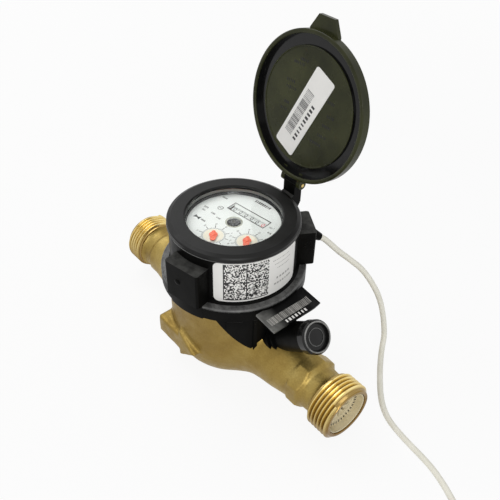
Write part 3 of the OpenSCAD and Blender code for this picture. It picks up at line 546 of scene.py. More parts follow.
# %% Water ways
bores = ((31.5, 26, 90), (28.5, 13, 90), (33.4, 52, 90), (31.5, 13, 23))  # radius, from height, to height
ways = [drum_distance(R, Z, *bore) for bore in bores]
ways.append(np.maximum(R - 26 - (Z - 5) * 5.5 / 8, np.maximum(5 - Z, Z - 13)))
end_bore_r, end_bore_x, slant_r, slant_x, slant_run = 10, 52, 8, 27, 28.0
for side, drop in ((1, 9), (-1, -9)):
    ways.append(drum_distance(T, side * X, end_bore_r, end_bore_x, 90))
    slant_l = math.hypot(slant_run, drop)
    run = np.array((slant_run, -drop)) / slant_l
    out, rise = side * X - slant_x, Z - axis_h - drop
    along = out * run[0] + rise * run[1]
    off = np.sqrt(np.maximum(out ** 2 + Y ** 2 + rise ** 2 - along ** 2, 0))
    ways.append(drum_distance(off, along, slant_r, 0, slant_l))
for way in ways:
    cast = np.maximum(cast, -way)
print("cast form between", round(float(cast.min()), 2), "and", round(float(cast.max()), 2), "mm")

# %% [markdown]
# The skin is laid with surface nets: each grid cell that the zero level passes gets one point, at the mean of its edge
# crossings, and each grid edge that crosses the level joins its four cells with a quad.

# %% Skin of the casting
def skin(field, origin, step):
    """Points and quads of the zero level of a field on a grid."""
    inside = field < 0
    cells = tuple(n - 1 for n in field.shape)
    corner = lambda a, i, j, k: a[i:i + cells[0], j:j + cells[1], k:k + cells[2]]
    ends = [(i, j, k) for i in (0, 1) for j in (0, 1) for k in (0, 1)]
    full = sum(corner(inside, *e).astype(np.int8) for e in ends)
    active = (full > 0) & (full < 8)
    total, hits = np.zeros((active.sum(), 3)), np.zeros(active.sum())
    for a in ends:
        for b in ends:
            if a < b and sum(p != q for p, q in zip(a, b)) == 1:
                da, db = corner(field, *a)[active], corner(field, *b)[active]
                cut = (da < 0) != (db < 0)
                t = np.where(cut, da / np.where(cut, da - db, 1), 0)
                total += cut[:, None] * (np.array(a) + t[:, None] * (np.array(b) - np.array(a)))
                hits += cut
    points = (np.argwhere(active) + total / hits[:, None]) * step + np.array(origin)
    number = np.full(cells, -1)
    number[active] = np.arange(len(points))
    quads = []
    for axis in range(3):
        p, q = [d for d in range(3) if d != axis]
        low = np.take(inside, range(cells[axis]), axis)
        high = np.take(inside, range(1, cells[axis] + 1), axis)
        cross = np.argwhere(low != high)
        cross = cross[(cross[:, p] > 0) & (cross[:, q] > 0) & (cross[:, p] < cells[p]) & (cross[:, q] < cells[q])]
        one_p, one_q = np.eye(3, dtype=int)[[p, q]]
        around = (one_p + one_q, one_q, 0 * one_p, one_p)
        ring = np.stack([number[tuple((cross - cell).T)] for cell in around], 1)
        flip = low[tuple(cross.T)] == (axis == 1)
        ring[flip] = ring[flip][:, ::-1]
        quads.append(ring)
    return points, np.concatenate(quads)


points, quads = skin(cast, (xs[0], ys[0], zs[0]), step)
print("skin of", len(points), "points and", len(quads), "quads")

# %% Casting as a piece
def settle(name, data, body, smooth_deg=None):
    """A finished piece at the origin, with its place in its mesh, riding on a body."""
    if smooth_deg is not None:
        data.shade_smooth()
        data.set_sharp_from_angle(angle=math.radians(smooth_deg))
    made = link(bpy.data.objects.new(name, data))
    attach(made, body)
    return made


def add_mesh(name, points, faces, key, body, slot, smooth_deg=None):
    """A piece from its points in metres and its faces."""
    data = bpy.data.meshes.new(name)
    data.from_pydata([tuple(p) for p in points], [], [tuple(int(i) for i in f) for f in faces])
    data.materials.append(finishes[key])
    return settle(name, data, body, smooth_deg)


cast_body = add_mesh("cast_body", points * mm, quads, "cast", "meter", "cast_brass", 180)
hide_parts("meter_body")
print("casting in place of the plain body")

# %% [markdown]
# ## Turned ends and threads
# Each end of the pipe is turned: a bored sleeve with a flat face, and a right-hand pipe thread of 2.309 mm pitch round
# it. The sleeve is a profile spun round the axis. The thread repeats along a helix, so Geometry Nodes sweeps a small
# trapezoid along a spiral curve and lets it run out at both ends.

# %% Turned sleeves
def shift(x, y, z):
    return Matrix.Translation((x, y, z))


def rotate(degrees, axis):
    return Matrix.Rotation(math.radians(degrees), 4, axis)


def on_pipe(x):
    """A place in the pipe, with Z along its axis."""
    return shift(x, 0, axis_h) @ rotate(90, "Y")


def circle(sides):
    """Cosine and sine at even steps round a circle."""
    return [(math.cos(2 * math.pi * k / sides), math.sin(2 * math.pi * k / sides)) for k in range(sides)]


def lathe(name, profile, place, key, body, slot, sides=96, closed=False, smooth_deg=40):
    """A profile of (radius, height) pairs in millimetres, spun round Z and set in its place."""
    n = len(profile)
    pts = [place @ Vector((r * c, r * s, z)) * mm for c, s in circle(sides) for r, z in profile]
    faces = [(k * n + i, (k + 1) % sides * n + i, (k + 1) % sides * n + (i + 1) % n, k * n + (i + 1) % n)
             for k in range(sides) for i in range(n if closed else n - 1)]
    return add_mesh(name, pts, faces, key, body, slot, smooth_deg)


def weld(data, outward=True):
    """Merges doubles and, if asked, turns all faces of a closed mesh outwards."""
    work = bmesh.new()
    work.from_mesh(data)
    bmesh.ops.remove_doubles(work, verts=work.verts, dist=1e-6)
    if outward:
        bmesh.ops.recalc_face_normals(work, faces=work.faces)
    work.to_mesh(data)
    work.free()


root_r, crest_r, pitch, mouth_r = 15.1, 16.625, 2.309, 12.9
sleeve = [(10.0, 79.6), (10.0, 84.0), (mouth_r, 84.0), (mouth_r, 94.6), (13.3, 95.0), (14.6, 95.0), (root_r, 94.3),
          (root_r, 82.2), (15.35, 81.2), (15.2, 80.4), (14.0, 79.8)]
liner = [(12.85, 90.0), (12.85, 94.0), (12.55, 94.4), (12.2, 94.1), (12.1, 90.0)]
for kind, profile, key, slot, smooth_deg in (("sleeve", sleeve, "turned", "cast_brass", 28),
                                             ("liner", liner, "aged", "white_plastic", 40)):
    for end, side in (("outlet", 1), ("inlet", -1)):
        spun = [(r, side * z) for r, z in profile]
        weld(lathe(f"{end}_{kind}", spun, on_pipe(0), key, "meter", slot, 96, True, smooth_deg).data)
print("two sleeves with mouths of", 2 * mouth_r, "mm")

# %% Growing pieces from geometry trees
def new_tree(name, **inputs):
    """An empty geometry tree with one number input per size."""
    tree = bpy.data.node_groups.new(name, "GeometryNodeTree")
    tree.interface.new_socket("Geometry", in_out="OUTPUT", socket_type="NodeSocketGeometry")
    for key, value in inputs.items():
        kind = "NodeSocketInt" if isinstance(value, int) else "NodeSocketFloat"
        tree.interface.new_socket(key, in_out="INPUT", socket_type=kind).default_value = value
    return tree, tree.nodes.new("NodeGroupInput").outputs


def end_tree(tree, geometry, key):
    """Closes a tree with Realize Instances and Set Material."""
    real = node(tree, "GeometryNodeRealizeInstances", {0: geometry})
    coated = node(tree, "GeometryNodeSetMaterial", {"Geometry": real, "Material": finishes[key]})
    tree.links.new(coated, tree.nodes.new("NodeGroupOutput").inputs[0])


def baked(host):
    """The plain mesh that an object gives; the object itself goes."""
    data = bpy.data.meshes.new_from_object(host.evaluated_get(bpy.context.evaluated_depsgraph_get()))
    host.modifiers.clear()
    bpy.data.objects.remove(host)
    return data


def grow(tree, name, body, slot, place, smooth_deg=None, **values):
    """Runs a tree with these inputs and keeps the result, set in its place in millimetres, as a plain mesh piece."""
    host = link(bpy.data.objects.new(name + "_host", bpy.data.meshes.new(name + "_host")))
    run = host.modifiers.new("tree", "NODES")
    run.node_group = tree
    for item in tree.interface.items_tree:
        if item.in_out == "INPUT" and item.name in values:
            run[item.identifier] = values[item.name]
    data = baked(host)
    data.transform(Matrix.Translation(place.to_translation() * mm) @ place.to_3x3().to_4x4())
    data.name = name
    return settle(name, data, body, smooth_deg)


def helix(tree, resolution, turns, radius, height):
    return node(tree, "GeometryNodeCurveSpiral", {"Resolution": resolution, "Rotations": turns, "Start Radius": radius,
                                                  "End Radius": radius, "Height": height})


def sweep(tree, curve, profile):
    return node(tree, "GeometryNodeCurveToMesh", {"Curve": curve, "Profile Curve": profile, "Fill Caps": True})


print("growing helpers ready")

# %% Threads
tree, size = new_tree("pipe_thread", Pitch=pitch * mm, Root=root_r * mm, Depth=(crest_r - root_r) * mm, Turns=5.4)
height = calc(tree, "MULTIPLY", size["Pitch"], size["Turns"])
spiral = helix(tree, 72, size["Turns"], calc(tree, "SUBTRACT", size["Root"], 0.05 * mm), height)
upright = node(tree, "GeometryNodeSetCurveNormal", {"Curve": spiral}, mode="Z_UP")
along = node(tree, "GeometryNodeSplineParameter", None, "Factor")
from_middle = calc(tree, "ABSOLUTE", calc(tree, "SUBTRACT", along, 0.5))
run_out = remap(tree, from_middle, 0.5, 0.455, 0.05, 1.0)
tapered = node(tree, "GeometryNodeSetCurveRadius", {"Curve": upright, "Radius": run_out})
wide, narrow = (calc(tree, "MULTIPLY", size["Pitch"], share) for share in (0.95, 0.2))
tooth = node(tree, "GeometryNodeCurvePrimitiveQuadrilateral", {
    "Bottom Width": wide, "Top Width": narrow, "Height": size["Depth"], "Offset": 0.0}, mode="TRAPEZOID")
lift = node(tree, "ShaderNodeCombineXYZ", {"Y": calc(tree, "MULTIPLY", size["Depth"], 0.5)})
seated = node(tree, "GeometryNodeTransform", {"Geometry": tooth, "Translation": lift})
outwards = node(tree, "GeometryNodeTransform", {"Geometry": seated, "Rotation": (0, 0, math.pi / 2)})
end_tree(tree, sweep(tree, tapered, outwards), "turned")
thread_start = 81.35
for name, half_turn in (("outlet_thread", 0), ("inlet_thread", 180)):
    made = grow(tree, name, "meter", "cast_brass", rotate(half_turn, "Z") @ on_pipe(thread_start), 35)
    weld(made.data)
    r = [math.hypot(v.co.y, v.co.z - axis_h * mm) / mm for v in made.data.vertices]
    print(name, len(made.data.polygons), "faces, radius", round(min(r), 2), "to", round(max(r), 2))

# %% [markdown]
# ## Printing
# Dial, drums, labels and tag carry plain printing: ticks, digits, bars and fields. Each print is a layer of flat faces
# a few hundredths of a millimetre above its ground. Lines of small type become rows of short bars. Three node trees
# make all that repeats: a ring of ticks, a row of bars of uneven width, and a square code with seeded cells.

# %% Trees for ticks and bars
def flat_bars(tree, points, wide, tall, **more):
    """A flat bar on each point."""
    bar = node(tree, "GeometryNodeMeshGrid", {"Size X": wide, "Size Y": tall, "Vertices X": 2, "Vertices Y": 2})
    return node(tree, "GeometryNodeInstanceOnPoints", {"Points": points, "Instance": bar, **more})


def tick_ring(key):
    """Ticks that point away from the middle of a ring."""
    tree, size = new_tree("tick_ring", Count=50, Radius=6 * mm, Length=1 * mm, Width=0.2 * mm)
    ring = node(tree, "GeometryNodeMeshCircle", {"Vertices": size["Count"], "Radius": size["Radius"]})
    place = node(tree, "GeometryNodeInputPosition")
    out = node(tree, "FunctionNodeAlignRotationToVector", {"Vector": place}, axis="X")
    end_tree(tree, flat_bars(tree, ring, size["Length"], size["Width"], Rotation=out), key)
    return tree


def bar_row(key):
    """Bars side by side along X, each with a width of its own."""
    tree, size = new_tree("bar_row", Count=20, Pitch=1 * mm, Tall=5 * mm, Least=0.3, Most=0.8, Seed=1)
    length = calc(tree, "MULTIPLY", calc(tree, "SUBTRACT", size["Count"], 1.0), size["Pitch"])
    start = node(tree, "ShaderNodeCombineXYZ", {"X": calc(tree, "MULTIPLY", length, -0.5)})
    stride = node(tree, "ShaderNodeCombineXYZ", {"X": size["Pitch"]})
    row = node(tree, "GeometryNodeMeshLine", {"Count": size["Count"], "Start Location": start, "Offset": stride})
    limits = {2: size["Least"], 3: size["Most"], "Seed": size["Seed"]}
    share = node(tree, "FunctionNodeRandomValue", limits, 1, data_type="FLOAT")
    stretch = node(tree, "ShaderNodeCombineXYZ", {"X": share, "Y": 1.0, "Z": 1.0})
    end_tree(tree, flat_bars(tree, row, size["Pitch"], size["Tall"], Scale=stretch), key)
    return tree


ticks, slit_shade_ticks = tick_ring("grey_ink"), tick_ring("ink")
inks = ("ink", "pale_ink", "grey_ink", "tag_ink", "paper")
dark_bars, pale_bars, grey_bars, tag_bars, white_bars = map(bar_row, inks)
print("trees for ticks in two inks and bars in", len(inks))

# %% Tree for a square code
def code_square(key):
    """A square of cells, kept by a seeded draw, with full lines at two edges and through the middle."""
    tree, size = new_tree("code_square", Cells=44, Cell=0.5 * mm, Share=0.5, Seed=3)
    inner = calc(tree, "SUBTRACT", calc(tree, "MULTIPLY", size["Cells"], size["Cell"]), size["Cell"])
    grid = node(tree, "GeometryNodeMeshGrid", {"Size X": inner, "Size Y": inner, "Vertices X": size["Cells"],
                                               "Vertices Y": size["Cells"]})
    chance = {"Probability": size["Share"], "Seed": size["Seed"]}
    keep = node(tree, "FunctionNodeRandomValue", chance, 3, data_type="BOOLEAN")
    place = node(tree, "GeometryNodeInputPosition")
    edge = calc(tree, "MULTIPLY", inner, -0.5)
    for axis in ("X", "Y"):
        for full_line in (edge, 0.0):
            across = node(tree, "ShaderNodeSeparateXYZ", {0: place}, axis)
            near = calc(tree, "COMPARE", across, full_line, 0.3 * mm)
            keep = node(tree, "FunctionNodeBooleanMath", {0: keep, 1: near}, operation="OR")
    drop = node(tree, "FunctionNodeBooleanMath", {0: keep}, operation="NOT")
    left = node(tree, "GeometryNodeDeleteGeometry", {"Geometry": grid, "Selection": drop}, domain="POINT")
    end_tree(tree, flat_bars(tree, left, size["Cell"], size["Cell"]), key)
    return tree


code_tree = code_square("ink")
print("code tree ready")

# %% Text and flat fields
def outline_field(points):
    """A flat face from its outline in millimetres."""
    work = bmesh.new()
    work.faces.new([work.verts.new((x, y, 0)) for x, y in points])
    return work


def box(x0, y0, x1, y1):
    """The outline of a rectangle."""
    return [(x0, y0), (x1, y0), (x1, y1), (x0, y1)]


def digits(text, tall):
    """Flat faces of a short text, centred, with figures of that height in millimetres."""
    curve = bpy.data.curves.new("figures", "FONT")
    curve.body, curve.size = text, tall * 1.42
    curve.align_x = curve.align_y = "CENTER"
    work = bmesh.new()
    work.from_mesh(baked(link(bpy.data.objects.new("figures", curve))))
    low, high = min(v.co.y for v in work.verts), max(v.co.y for v in work.verts)
    for v in work.verts:
        v.co.y -= (low + high) / 2
    return work


def disc(radius, sides=48, hole=0.0):
    """A flat disc or ring."""
    if not hole:
        return outline_field([(radius * c, radius * s) for c, s in circle(sides)])
    work = bmesh.new()
    rim = [[work.verts.new((r * c, r * s, 0)) for c, s in circle(sides)] for r in (hole, radius)]
    for k in range(sides):
        work.faces.new((rim[0][k - 1], rim[1][k - 1], rim[1][k], rim[0][k]))
    return work


def arc(cx, cy, r, a0, a1, steps=10):
    """Points along an arc between two angles in degrees."""
    angles = [math.radians(a0 + (a1 - a0) * k / steps) for k in range(steps + 1)]
    return [(cx + r * math.cos(a), cy + r * math.sin(a)) for a in angles]


def round_box(x0, y0, x1, y1, r):
    """The outline of a rectangle with round corners."""
    corners = ((x1 - r, y1 - r), (x0 + r, y1 - r), (x0 + r, y0 + r), (x1 - r, y0 + r))
    return [p for k, (x, y) in enumerate(corners) for p in arc(x, y, r, 90 * k, 90 * k + 90)]


print("flat fields ready")

# %% Printing helpers
def finished(name, work, key, body):
    """Turns a work mesh in millimetres into a piece."""
    bmesh.ops.scale(work, vec=(mm, mm, mm), verts=work.verts)
    data = bpy.data.meshes.new(name)
    work.to_mesh(data)
    work.free()
    data.materials.append(finishes[key])
    return settle(name, data, body)


def raise_copy(work, faces, height):
    """Extrudes faces straight up."""
    grown = bmesh.ops.extrude_face_region(work, geom=faces)["geom"]
    bmesh.ops.translate(work, verts=[v for v in grown if isinstance(v, bmesh.types.BMVert)], vec=(0, 0, height))


def printed(name, fields, key, body, slot, bend=None, thick=0.0):
    """Joins flat fields, each with its place in millimetres, into one piece. A bend, given as the axis that it cuts,
    the width of its strips and a function, lays the piece on a round ground."""
    whole = bmesh.new()
    for work, place in fields:
        work.transform(place)
        part = bpy.data.meshes.new("part")
        work.to_mesh(part)
        work.free()
        whole.from_mesh(part)
        bpy.data.meshes.remove(part)
    if thick:
        raise_copy(whole, whole.faces[:], thick)
    if bend:
        axis, strip, onto = bend
        normal = [float(i == axis) for i in range(3)]
        low, high = min(v.co[axis] for v in whole.verts), max(v.co[axis] for v in whole.verts)
        for k in range(1, math.ceil((high - low) / strip)):
            bmesh.ops.bisect_plane(whole, geom=whole.verts[:] + whole.edges[:] + whole.faces[:],
                                   plane_co=[(low + k * strip) * n for n in normal], plane_no=normal)
        for v in whole.verts:
            v.co = onto(*v.co)
    if thick:
        bmesh.ops.recalc_face_normals(whole, faces=whole.faces)
    return finished(name, whole, key, body)


def at(x, y, z=0.0, angle=0.0):
    """A place in millimetres, turned about the upright."""
    return shift(x, y, z) @ rotate(angle, "Z")


print("printing helpers ready")

# %% [markdown]
# ### Dial
# The print is turned eight degrees on the plate, like the number drums. Two small round scales share the lower edge:
# a blush disc with a ring of fine ticks, ten longer ones and figures, which the bezel partly hides.

# %% Dial print
dial_top, dial_turn = 89.3, 8.0
ink_z = dial_top + 0.04
counter_mid = (0.3, 10.2)
scales = {"a": (2.2, -15.5), "b": (16.9, -4.9)}
dial = ("meter", "dial_white")
figure_r, clear_of_star, clear_of_bezel = 9.7, 5.2, 27
for tag, (x, y) in scales.items():
    printed(f"dial_field_{tag}", [(disc(5.4, hole=1.0), at(x, y, ink_z))], "blush", *dial)
    grow(ticks, f"dial_fine_{tag}", *dial, at(x, y, ink_z),
         Count=50, Radius=6.0 * mm, Length=0.9 * mm, Width=0.26 * mm)
    grow(ticks, f"dial_long_{tag}", *dial, at(x, y, ink_z, dial_turn + 18),
         Count=10, Radius=7.5 * mm, Length=2.0 * mm, Width=0.36 * mm)
    figures = []
    for n in range(10):
        a = math.radians(90 + dial_turn - 36 * n)
        px, py = x + figure_r * math.cos(a), y + figure_r * math.sin(a)
        if clear_of_star < math.hypot(px, py) < clear_of_bezel:
            figures.append((digits(str(n), 1.5), at(px, py, ink_z, dial_turn)))
    printed(f"dial_figures_{tag}", figures, "grey_ink", *dial)
printed("star_ring", [(disc(4.8, hole=3.9), at(0, 0, ink_z))], "olive", *dial)
printed("star_tip", [(disc(1.0, 24), at(0, 0, dial_top + 0.25))], "grey_ink", "spindle", "steel")
half_l, half_w, line_w = 13.3, 3.55, 0.55
rim = [outline_field(box(*corners)) for corners in (
    (-half_l, -half_w, half_l, -half_w + line_w), (-half_l, half_w - line_w, half_l, half_w),
    (-half_l, -half_w, -half_l + line_w, half_w), (half_l - line_w, -half_w, half_l, half_w))]
printed("counter_rim", [(r, at(*counter_mid, ink_z + 0.01, dial_turn)) for r in rim], "grey_ink", *dial)
printed("unit_mark", [(digits("m³", 1.9), at(16.6, 12.4, ink_z, dial_turn))], "ink", *dial)
print("dial scales and counter rim printed")

# %% Slits of the cage in the outlet, painted as shade
# Painted shade: dark marks on the face of the cage stand for the openings of its slits.
cage_face = 90.03
grow(slit_shade_ticks, "cage_slit_shade", "meter", "white_plastic", on_pipe(cage_face),
     Count=36, Radius=11.1 * mm, Length=1.7 * mm, Width=0.75 * mm)
print("cage slits marked")

# %% Rows of small type on the dial
def type_row(tree, name, body, slot, place, count, pitch_mm, tall, least, most, seed):
    """A row of bars with its sizes in millimetres and the least and most share of the pitch that a bar fills."""
    return grow(tree, name, body, slot, place, Count=count, Pitch=pitch_mm * mm, Tall=tall * mm, Least=least,
                Most=most, Seed=seed)


type_rows = {
    "top": (-20.5, 10.0, 5, 0.75, 1.2), "class": (-20.2, -3.4, 4, 0.8, 1.3), "class_b": (-19.0, -6.0, 3, 0.8, 1.1),
    "middle": (-13.2, -4.0, 4, 0.8, 1.2), "near": (-8.0, -4.4, 4, 0.75, 1.0), "low": (-11.6, -12.0, 4, 0.8, 1.2),
    "maker": (-2.2, 22.4, 9, 1.25, 1.9), "right": (19.0, 8.6, 3, 0.8, 1.2)}
for number, (key, (x, y, *sizes)) in enumerate(type_rows.items()):
    type_row(grey_bars, f"dial_type_{key}", *dial, at(x, y, ink_z, dial_turn), *sizes, 0.35, 0.8, number + 5)
mark = [(-2.0, -1.3), (-2.0, 1.3), (0, 0.35), (2.0, 1.3), (2.0, -1.3), (0, -0.35)]
printed("flow_mark", [(outline_field(mark), at(-16.0, -12.6, ink_z, dial_turn))], "ink", *dial)
class_mid = (-14.6, 2.2, ink_z)
printed("class_ring", [(disc(1.7, 32, 1.3), at(*class_mid)),
                       (outline_field(box(-1.0, -0.2, 1.0, 0.2)), at(*class_mid, dial_turn))], "grey_ink", *dial)
print(len(type_rows), "rows of type")

# %% [markdown]
# ### Number drums
# Ten figures go round each drum, bent to its face. The drum turns towards the hinge as it counts, so the next figure
# comes up from below. The last drum has red figures. The figures ride on the drum's own body.

# %% Figures on the drums
drum_r, drum_pitch, drum_z = 4.6, 4.1, 83.4
figure_face = drum_r + 0.03
to_counter = at(*counter_mid, drum_z, dial_turn)
for i in range(6):
    middle = (i - 2.5) * drum_pitch

    def on_drum(x, y, z, middle=middle):
        a = y / drum_r
        return to_counter @ Vector((middle + x, figure_face * math.sin(a), figure_face * math.cos(a)))

    around = [(digits(str(n), 2.7), at(0, -drum_r * math.radians(36 * n))) for n in range(10)]
    printed(f"drum_figures_{i + 1}", around, "red_ink" if i == 5 else "ink", f"counter_{i + 1}", "drum_white",
            (1, 0.4, on_drum))
print("sixty figures on six drums")

# %% [markdown]
# ### Labels
# The label round the shroud has a square code and rows of pale type. The sticker in the lid has bars and one row of
# type, and the tag has pale bars. All patterns are drawn from seeds and stand for no number.

# %% Shroud label
label_r, label_depth, label_from, label_to = 35.44, 0.24, -56, 26
code_angle, code_z = -28, 78.6
label = ("meter", "label_paper")


def wrapped(x, y, z):
    """A point of the flat label, laid round the shroud."""
    r = label_r - label_depth + z
    return Vector((r * math.cos(x / label_r), r * math.sin(x / label_r), y))


low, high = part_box("serial_label")
edges = [math.radians(a) * label_r for a in (label_from, label_to)]
sheet_outline = round_box(edges[0], low[2] / mm, edges[1], high[2] / mm, 3.0)
sheet = printed("label_sheet", [(outline_field(sheet_outline), at(0, 0))], "paper", *label, (0, 1.2, wrapped), 0.2)
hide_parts("serial_label")


def lay_on(made, onto):
    """Moves the points of a flat print onto a round ground."""
    for v in made.data.vertices:
        v.co = onto(*(v.co / mm)) * mm
    made.data.update()


def label_place(degrees, z):
    """A place on the flat label, from its angle round the shroud and its height."""
    return shift(label_r * math.radians(degrees), z, label_depth)


lay_on(grow(code_tree, "label_code", *label, label_place(code_angle, code_z),
            Cells=43, Cell=0.565 * mm, Share=0.5, Seed=11), wrapped)
label_rows = ((5, 88.0, 11, 1.1, 0.5), (7, 85.2, 12, 1.0, 0.5), (8, 82.2, 9, 1.1, 0.5), (8, 75.4, 5, 2.2, 1.3),
              (8, 71.6, 7, 1.9, 1.2))
for number, (degrees, z, *sizes) in enumerate(label_rows):
    lay_on(type_row(pale_bars, f"label_row_{number + 1}", *label, label_place(degrees, z), *sizes, 0.4, 0.85,
                    21 + number), wrapped)
print("shroud label printed")

# %% Lid sticker
hinge, lid_opening = Vector((-1.0, 43.3, 99.2)), 100
in_lid = Matrix.Translation(hinge) @ rotate(-lid_opening, "X") @ Matrix.Translation(-hinge)
sticker_z, sticker_turn = 96.27, 22.6
sticker = in_lid @ at(-1, 3, sticker_z, sticker_turn) @ rotate(180, "Y")
stand = rotate(90, "Z")
for name, x, y, sizes in (("lid_bars", 2.6, 2.0, (34, 0.84, 5.6, 0.2, 0.8, 31)),
                          ("lid_type", -3.2, 4.5, (10, 2.5, 2.4, 0.35, 0.65, 32))):
    type_row(dark_bars, name, "lid", "label_paper", sticker @ shift(x, y, 0) @ stand, *sizes)
print("lid sticker printed")

# %% Tag
tag_x, tag_z, tag_tilt = 38.8, 60, 5
tag_face = shift(tag_x, 0, tag_z) @ rotate(tag_tilt, "Y")
flat_end, curl_r, tag_t, print_gap = 9.3, 14.0, 1.2, 0.04


def on_tag(x, y, z):
    """A point of a print with Y along the tag, laid on the flat part and up the curled end."""
    inner_r = curl_r - tag_t
    curl = max(0.0, y - flat_end) / inner_r
    rise = (inner_r - print_gap) * (1 - math.cos(curl))
    return tag_face @ Vector((x, min(y, flat_end) + inner_r * math.sin(curl), tag_t + print_gap + rise))


for tree, name, x, y, sizes in ((tag_bars, "tag_bars", 8.4, -0.6, (36, 0.78, 4.6, 0.25, 0.85, 41)),
                                (white_bars, "tag_type", 12.5, 0.6, (7, 2.2, 1.9, 0.4, 0.7, 42))):
    lay_on(type_row(tree, name, "meter", "tag_black", shift(x, y, 0) @ stand, *sizes), on_tag)
print("tag printed")

# %% [markdown]
# ## Small forms
# What is too fine for the solids: blunt pointer blades, a left lug that ends on the skirt, the dome and the raised
# marks on the lugs, a dark lining of painted shade in the groove and the bead inside the lid with its moulded marks,
# beads and rings that paint highlights on the black parts, the head of the cable tie, and the spring of the check
# valve.

# %% Prisms
black = ("meter", "black_plastic")


def prism(name, outline, low, high, place, key, body, slot, bevel=0.0):
    """An upright solid from an outline in millimetres, with small bevels if asked."""
    work = bmesh.new()
    face = work.faces.new([work.verts.new((x, y, low)) for x, y in outline])
    raise_copy(work, [face], high - low)
    bmesh.ops.recalc_face_normals(work, faces=work.faces)
    if bevel:
        corners = [e for e in work.edges if e.calc_face_angle(0) > 0.6]
        bmesh.ops.bevel(work, geom=corners, offset=bevel, segments=2, affect="EDGES")
    work.transform(place)
    return finished(name, work, key, body)


print("prism ready")

# %% Pointer blades
blade = (arc(3.4, 0, 1.55, -80, 80) + arc(0, 0, 2.3, 50, 150) + arc(-2.4, 0, 1.0, 110, 250, 6)
         + arc(0, 0, 2.3, 210, 310))
blade_low, blade_high = 89.72, 90.2
cap = [(1.35, 90.1), (1.35, 90.4), (1.1, 90.6), (0.02, 90.62)]
for tag, body, angle in (("a", "pointer_one", 318), ("b", "pointer_two", 312)):
    made = prism(f"pointer_blade_{tag}", blade, blade_low, blade_high, at(*scales[tag], 0, angle), "orange", body,
                 "pointer_red", 0.12)
    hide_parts(f"pointer_hand_{tag}")
    lathe(f"pointer_cap_{tag}", cap, at(*scales[tag]), "orange", body, "pointer_red", 32)
print("two blades of", len(blade), "points")

# %% Sight ring and lip of the counter
sight = [(26.4, 90.95), (25.6, dial_top + 0.5), (25.4, dial_top + 0.12)]
lathe("sight_ring", sight, at(0, 0), "polished", *black)
lip = [(-13, 1.7, 87.95), (13, 1.7, 87.95), (13, 3.3, 89.33), (-13, 3.3, 89.33)]
lip_place = at(*counter_mid, 0, dial_turn)
add_mesh("counter_lip", [lip_place @ Vector(p) * mm for p in lip], [(0, 1, 2, 3)], "enamel", *dial)
print("sight ring and lip set")

# %% Shroud with its left lug ending on the skirt
skirt_r, skirt_top, wall_top, bezel_r = 40.8, 64.0, 92.0, 36.0
left_lug, right_lug, lug_face = rotate(-78, "Z"), rotate(60, "Z"), 42.7
below_lug = arc(0, 0, skirt_r + 0.06, -22, 22, 40) + [(52, 20), (52, -20)]
cutter = prism("lug_cutter", below_lug, 50, skirt_top, left_lug, "black", *black)
whole = link(bpy.data.objects.new("whole_shroud", nodes["shroud"].data.copy()))
weld(whole.data, False)
cut = whole.modifiers.new("cut", "BOOLEAN")
cut.operation, cut.solver, cut.object = "DIFFERENCE", "EXACT", cutter
trimmed = baked(whole)
bpy.data.objects.remove(cutter)
trimmed_shroud = add_mesh("trimmed_shroud", [v.co.copy() for v in trimmed.vertices],
                          [tuple(p.vertices) for p in trimmed.polygons], "black", *black, 30)
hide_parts("shroud")
print("shroud trimmed to", len(trimmed_shroud.data.polygons), "faces")

# %% Dome and marks on the lugs
dome = [(1.9, -0.3), (1.85, 0.1), (1.5, 0.42), (0.9, 0.62), (0.02, 0.68)]
stopper = [(1.32, -0.9), (1.32, 0.01), (0.02, 0.02)]
for name, profile, y, z in (("lug_dome", dome, -2.4, 75.9), ("lug_plug", stopper, 0, 73)):
    lathe(name, profile, left_lug @ shift(lug_face, y, z) @ rotate(90, "Y"), "black", *black, 32)
lug_half = 10
side_face = right_lug @ shift(0, -lug_half, 0) @ rotate(90, "X")
lug_marks = ((40.4, 79.4, 0.6), (40.6, 76.6, 0.6), (41.0, 74.2, 0.6), (38.6, 79.0, 0.6), (38.8, 74.0, 0.6),
             (36.9, 76.2, 1.3))
mark_tall, mark_rise = 0.7, 0.25
for number, (x, z, wide) in enumerate(lug_marks):
    prism(f"lug_mark_{number + 1}", box(x, z, x + wide, z + mark_tall), 0, mark_rise, side_face, "black", *black)
print("lugs finished with", len(lug_marks), "marks")

# %% Inside of the lid
lid_black = ("lid", "lid_plastic")
disc_r, disc_z, plate_z, wall_r, lip_z, hair = 31.7, 96.5, 97.5, 37.6, 94.5, 0.03
# Painted shade: a dark lining laid a hair over the groove between the inner disc and the wall.
shade_in_groove = [(disc_r + hair, disc_z + 0.3), (disc_r + hair, plate_z - hair), (wall_r - hair, plate_z - hair),
          (wall_r - hair, lip_z + 0.5)]
lathe("lid_groove", shade_in_groove, in_lid, "polished", *lid_black)


def bead(radius, z, thick, sides):
    """The section of a thin round bead."""
    return [(radius + thick * c, z + thick * s) for c, s in circle(sides)]


lathe("lid_bead", bead(disc_r - 0.3, disc_z, 0.42, 10), in_lid, "lid", *lid_black, 128, True)
half_circle = [math.pi * k / 8 for k in range(9)]
lip = [(wall_r + 1.15 - 1.16 * math.cos(a), lip_z + 0.02 - 0.55 * math.sin(a)) for a in half_circle]
lathe("lid_lip", lip, in_lid, "lid", *lid_black, 128)
moulded = bar_row("polished")
marks_z = disc_z - 0.04
inside = in_lid @ shift(0, 0, marks_z) @ rotate(180, "Y")
lid_rows = ((14.5, -10, 5), (13.5, -6.5, 6), (14.8, 2, 3), (16, 6, 4), (11, -20.5, 6), (8, -23, 5), (-15.5, -8.5, 4),
            (-17, -1.5, 4), (-16, 4, 5), (-14, 10, 5), (-11, 15, 6))
for number, (x, y, count) in enumerate(lid_rows):
    type_row(moulded, f"lid_mark_{number + 1}", *lid_black, inside @ at(x, y), count, 1.3, 1.5, 0.3, 0.75, 51 + number)
print("lid finished with", len(lid_rows), "rows of moulded marks")
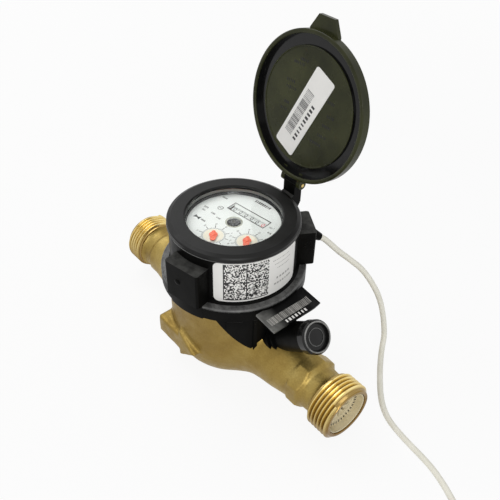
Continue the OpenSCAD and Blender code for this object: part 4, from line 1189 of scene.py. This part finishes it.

# %% Beads on the shroud, rings on the cap, marks on the arrow
# Painted highlights: the skirt edge, the bezel bead and the cap ring are grey on black, and the cap rim has pale
# patches.
skirt_edge = [(skirt_r + 0.02, skirt_top - 1.3), (skirt_r - 0.12, skirt_top - 0.45), (skirt_r - 0.45, skirt_top - 0.1),
              (skirt_r - 1.3, skirt_top + 0.04), (36.9, skirt_top + 0.05)]
lathe("skirt_edge", skirt_edge, at(0, 0), "painted_highlight", *black, 128)
plug_x, plug_lift, plug_tilt, plug_l, cap_r, cap_l = 41, 14, 51, 29, 9.1, 6.0
plug = shift(plug_x, 0, axis_h + plug_lift) @ rotate(plug_tilt, "Y") @ shift(0, 0, plug_l)
for name, radius, z, thick, key, place in (
        ("bezel_bead", bezel_r - 0.05, wall_top + 0.35, 0.22, "painted_highlight", at(0, 0)),
        ("cap_rim", cap_r - 1.25, cap_l - 0.05, 0.38, "glint", plug),
        ("cap_ring", 4.6, cap_l - 1.3, 0.25, "painted_highlight", plug)):
    lathe(name, bead(radius, z, thick, 8), place, key, *black, 128, True)
arrow_front = -39.2
arrow_face = shift(0, arrow_front, axis_h - 1) @ rotate(90, "X")
dashes = [(-20.5 + 1.9 * k, 1.7 - 0.5 * (k % 3), 0.5 + 0.25 * (k * 7 % 3)) for k in range(13)]
printed("arrow_marks", [(outline_field(box(x - w, -h, x + w, h)), arrow_face) for x, h, w in dashes],
        "cast", "meter", "cast_brass")
print("beads, rings and", len(dashes), "marks")

# %% Spring of the check valve
spring_x0, spring_x1, wire_r, valve_stroke = 71.0, 86.8, 0.4, 4.2
spring_l = spring_x1 - spring_x0
tree, size = new_tree("coil_spring", Turns=5.0, Radius=2.9 * mm, Length=spring_l * mm, Wire=wire_r * mm)
wire = node(tree, "GeometryNodeCurvePrimitiveCircle", {"Resolution": 10, "Radius": size["Wire"]})
end_tree(tree, sweep(tree, helix(tree, 28, size["Turns"], size["Radius"], size["Length"]), wire), "steel")
spring = grow(tree, "spring_coil", "meter", "steel", on_pipe(spring_x0), 40)
weld(spring.data)
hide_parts("valve_spring")
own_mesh(spring)

# %% Head of the cable tie
tie_angle, tie_out = 150, 6.1
tie_place = shift(*coil_mid, 0) @ rotate(tie_angle, "Z") @ shift(coil_r + tie_out, 0, 0)
prism("tie_head", box(0, -2.3, 2.6, 2.3), 5.2, 9.6, tie_place, "black", *black, 0.4)
print("tie head set")
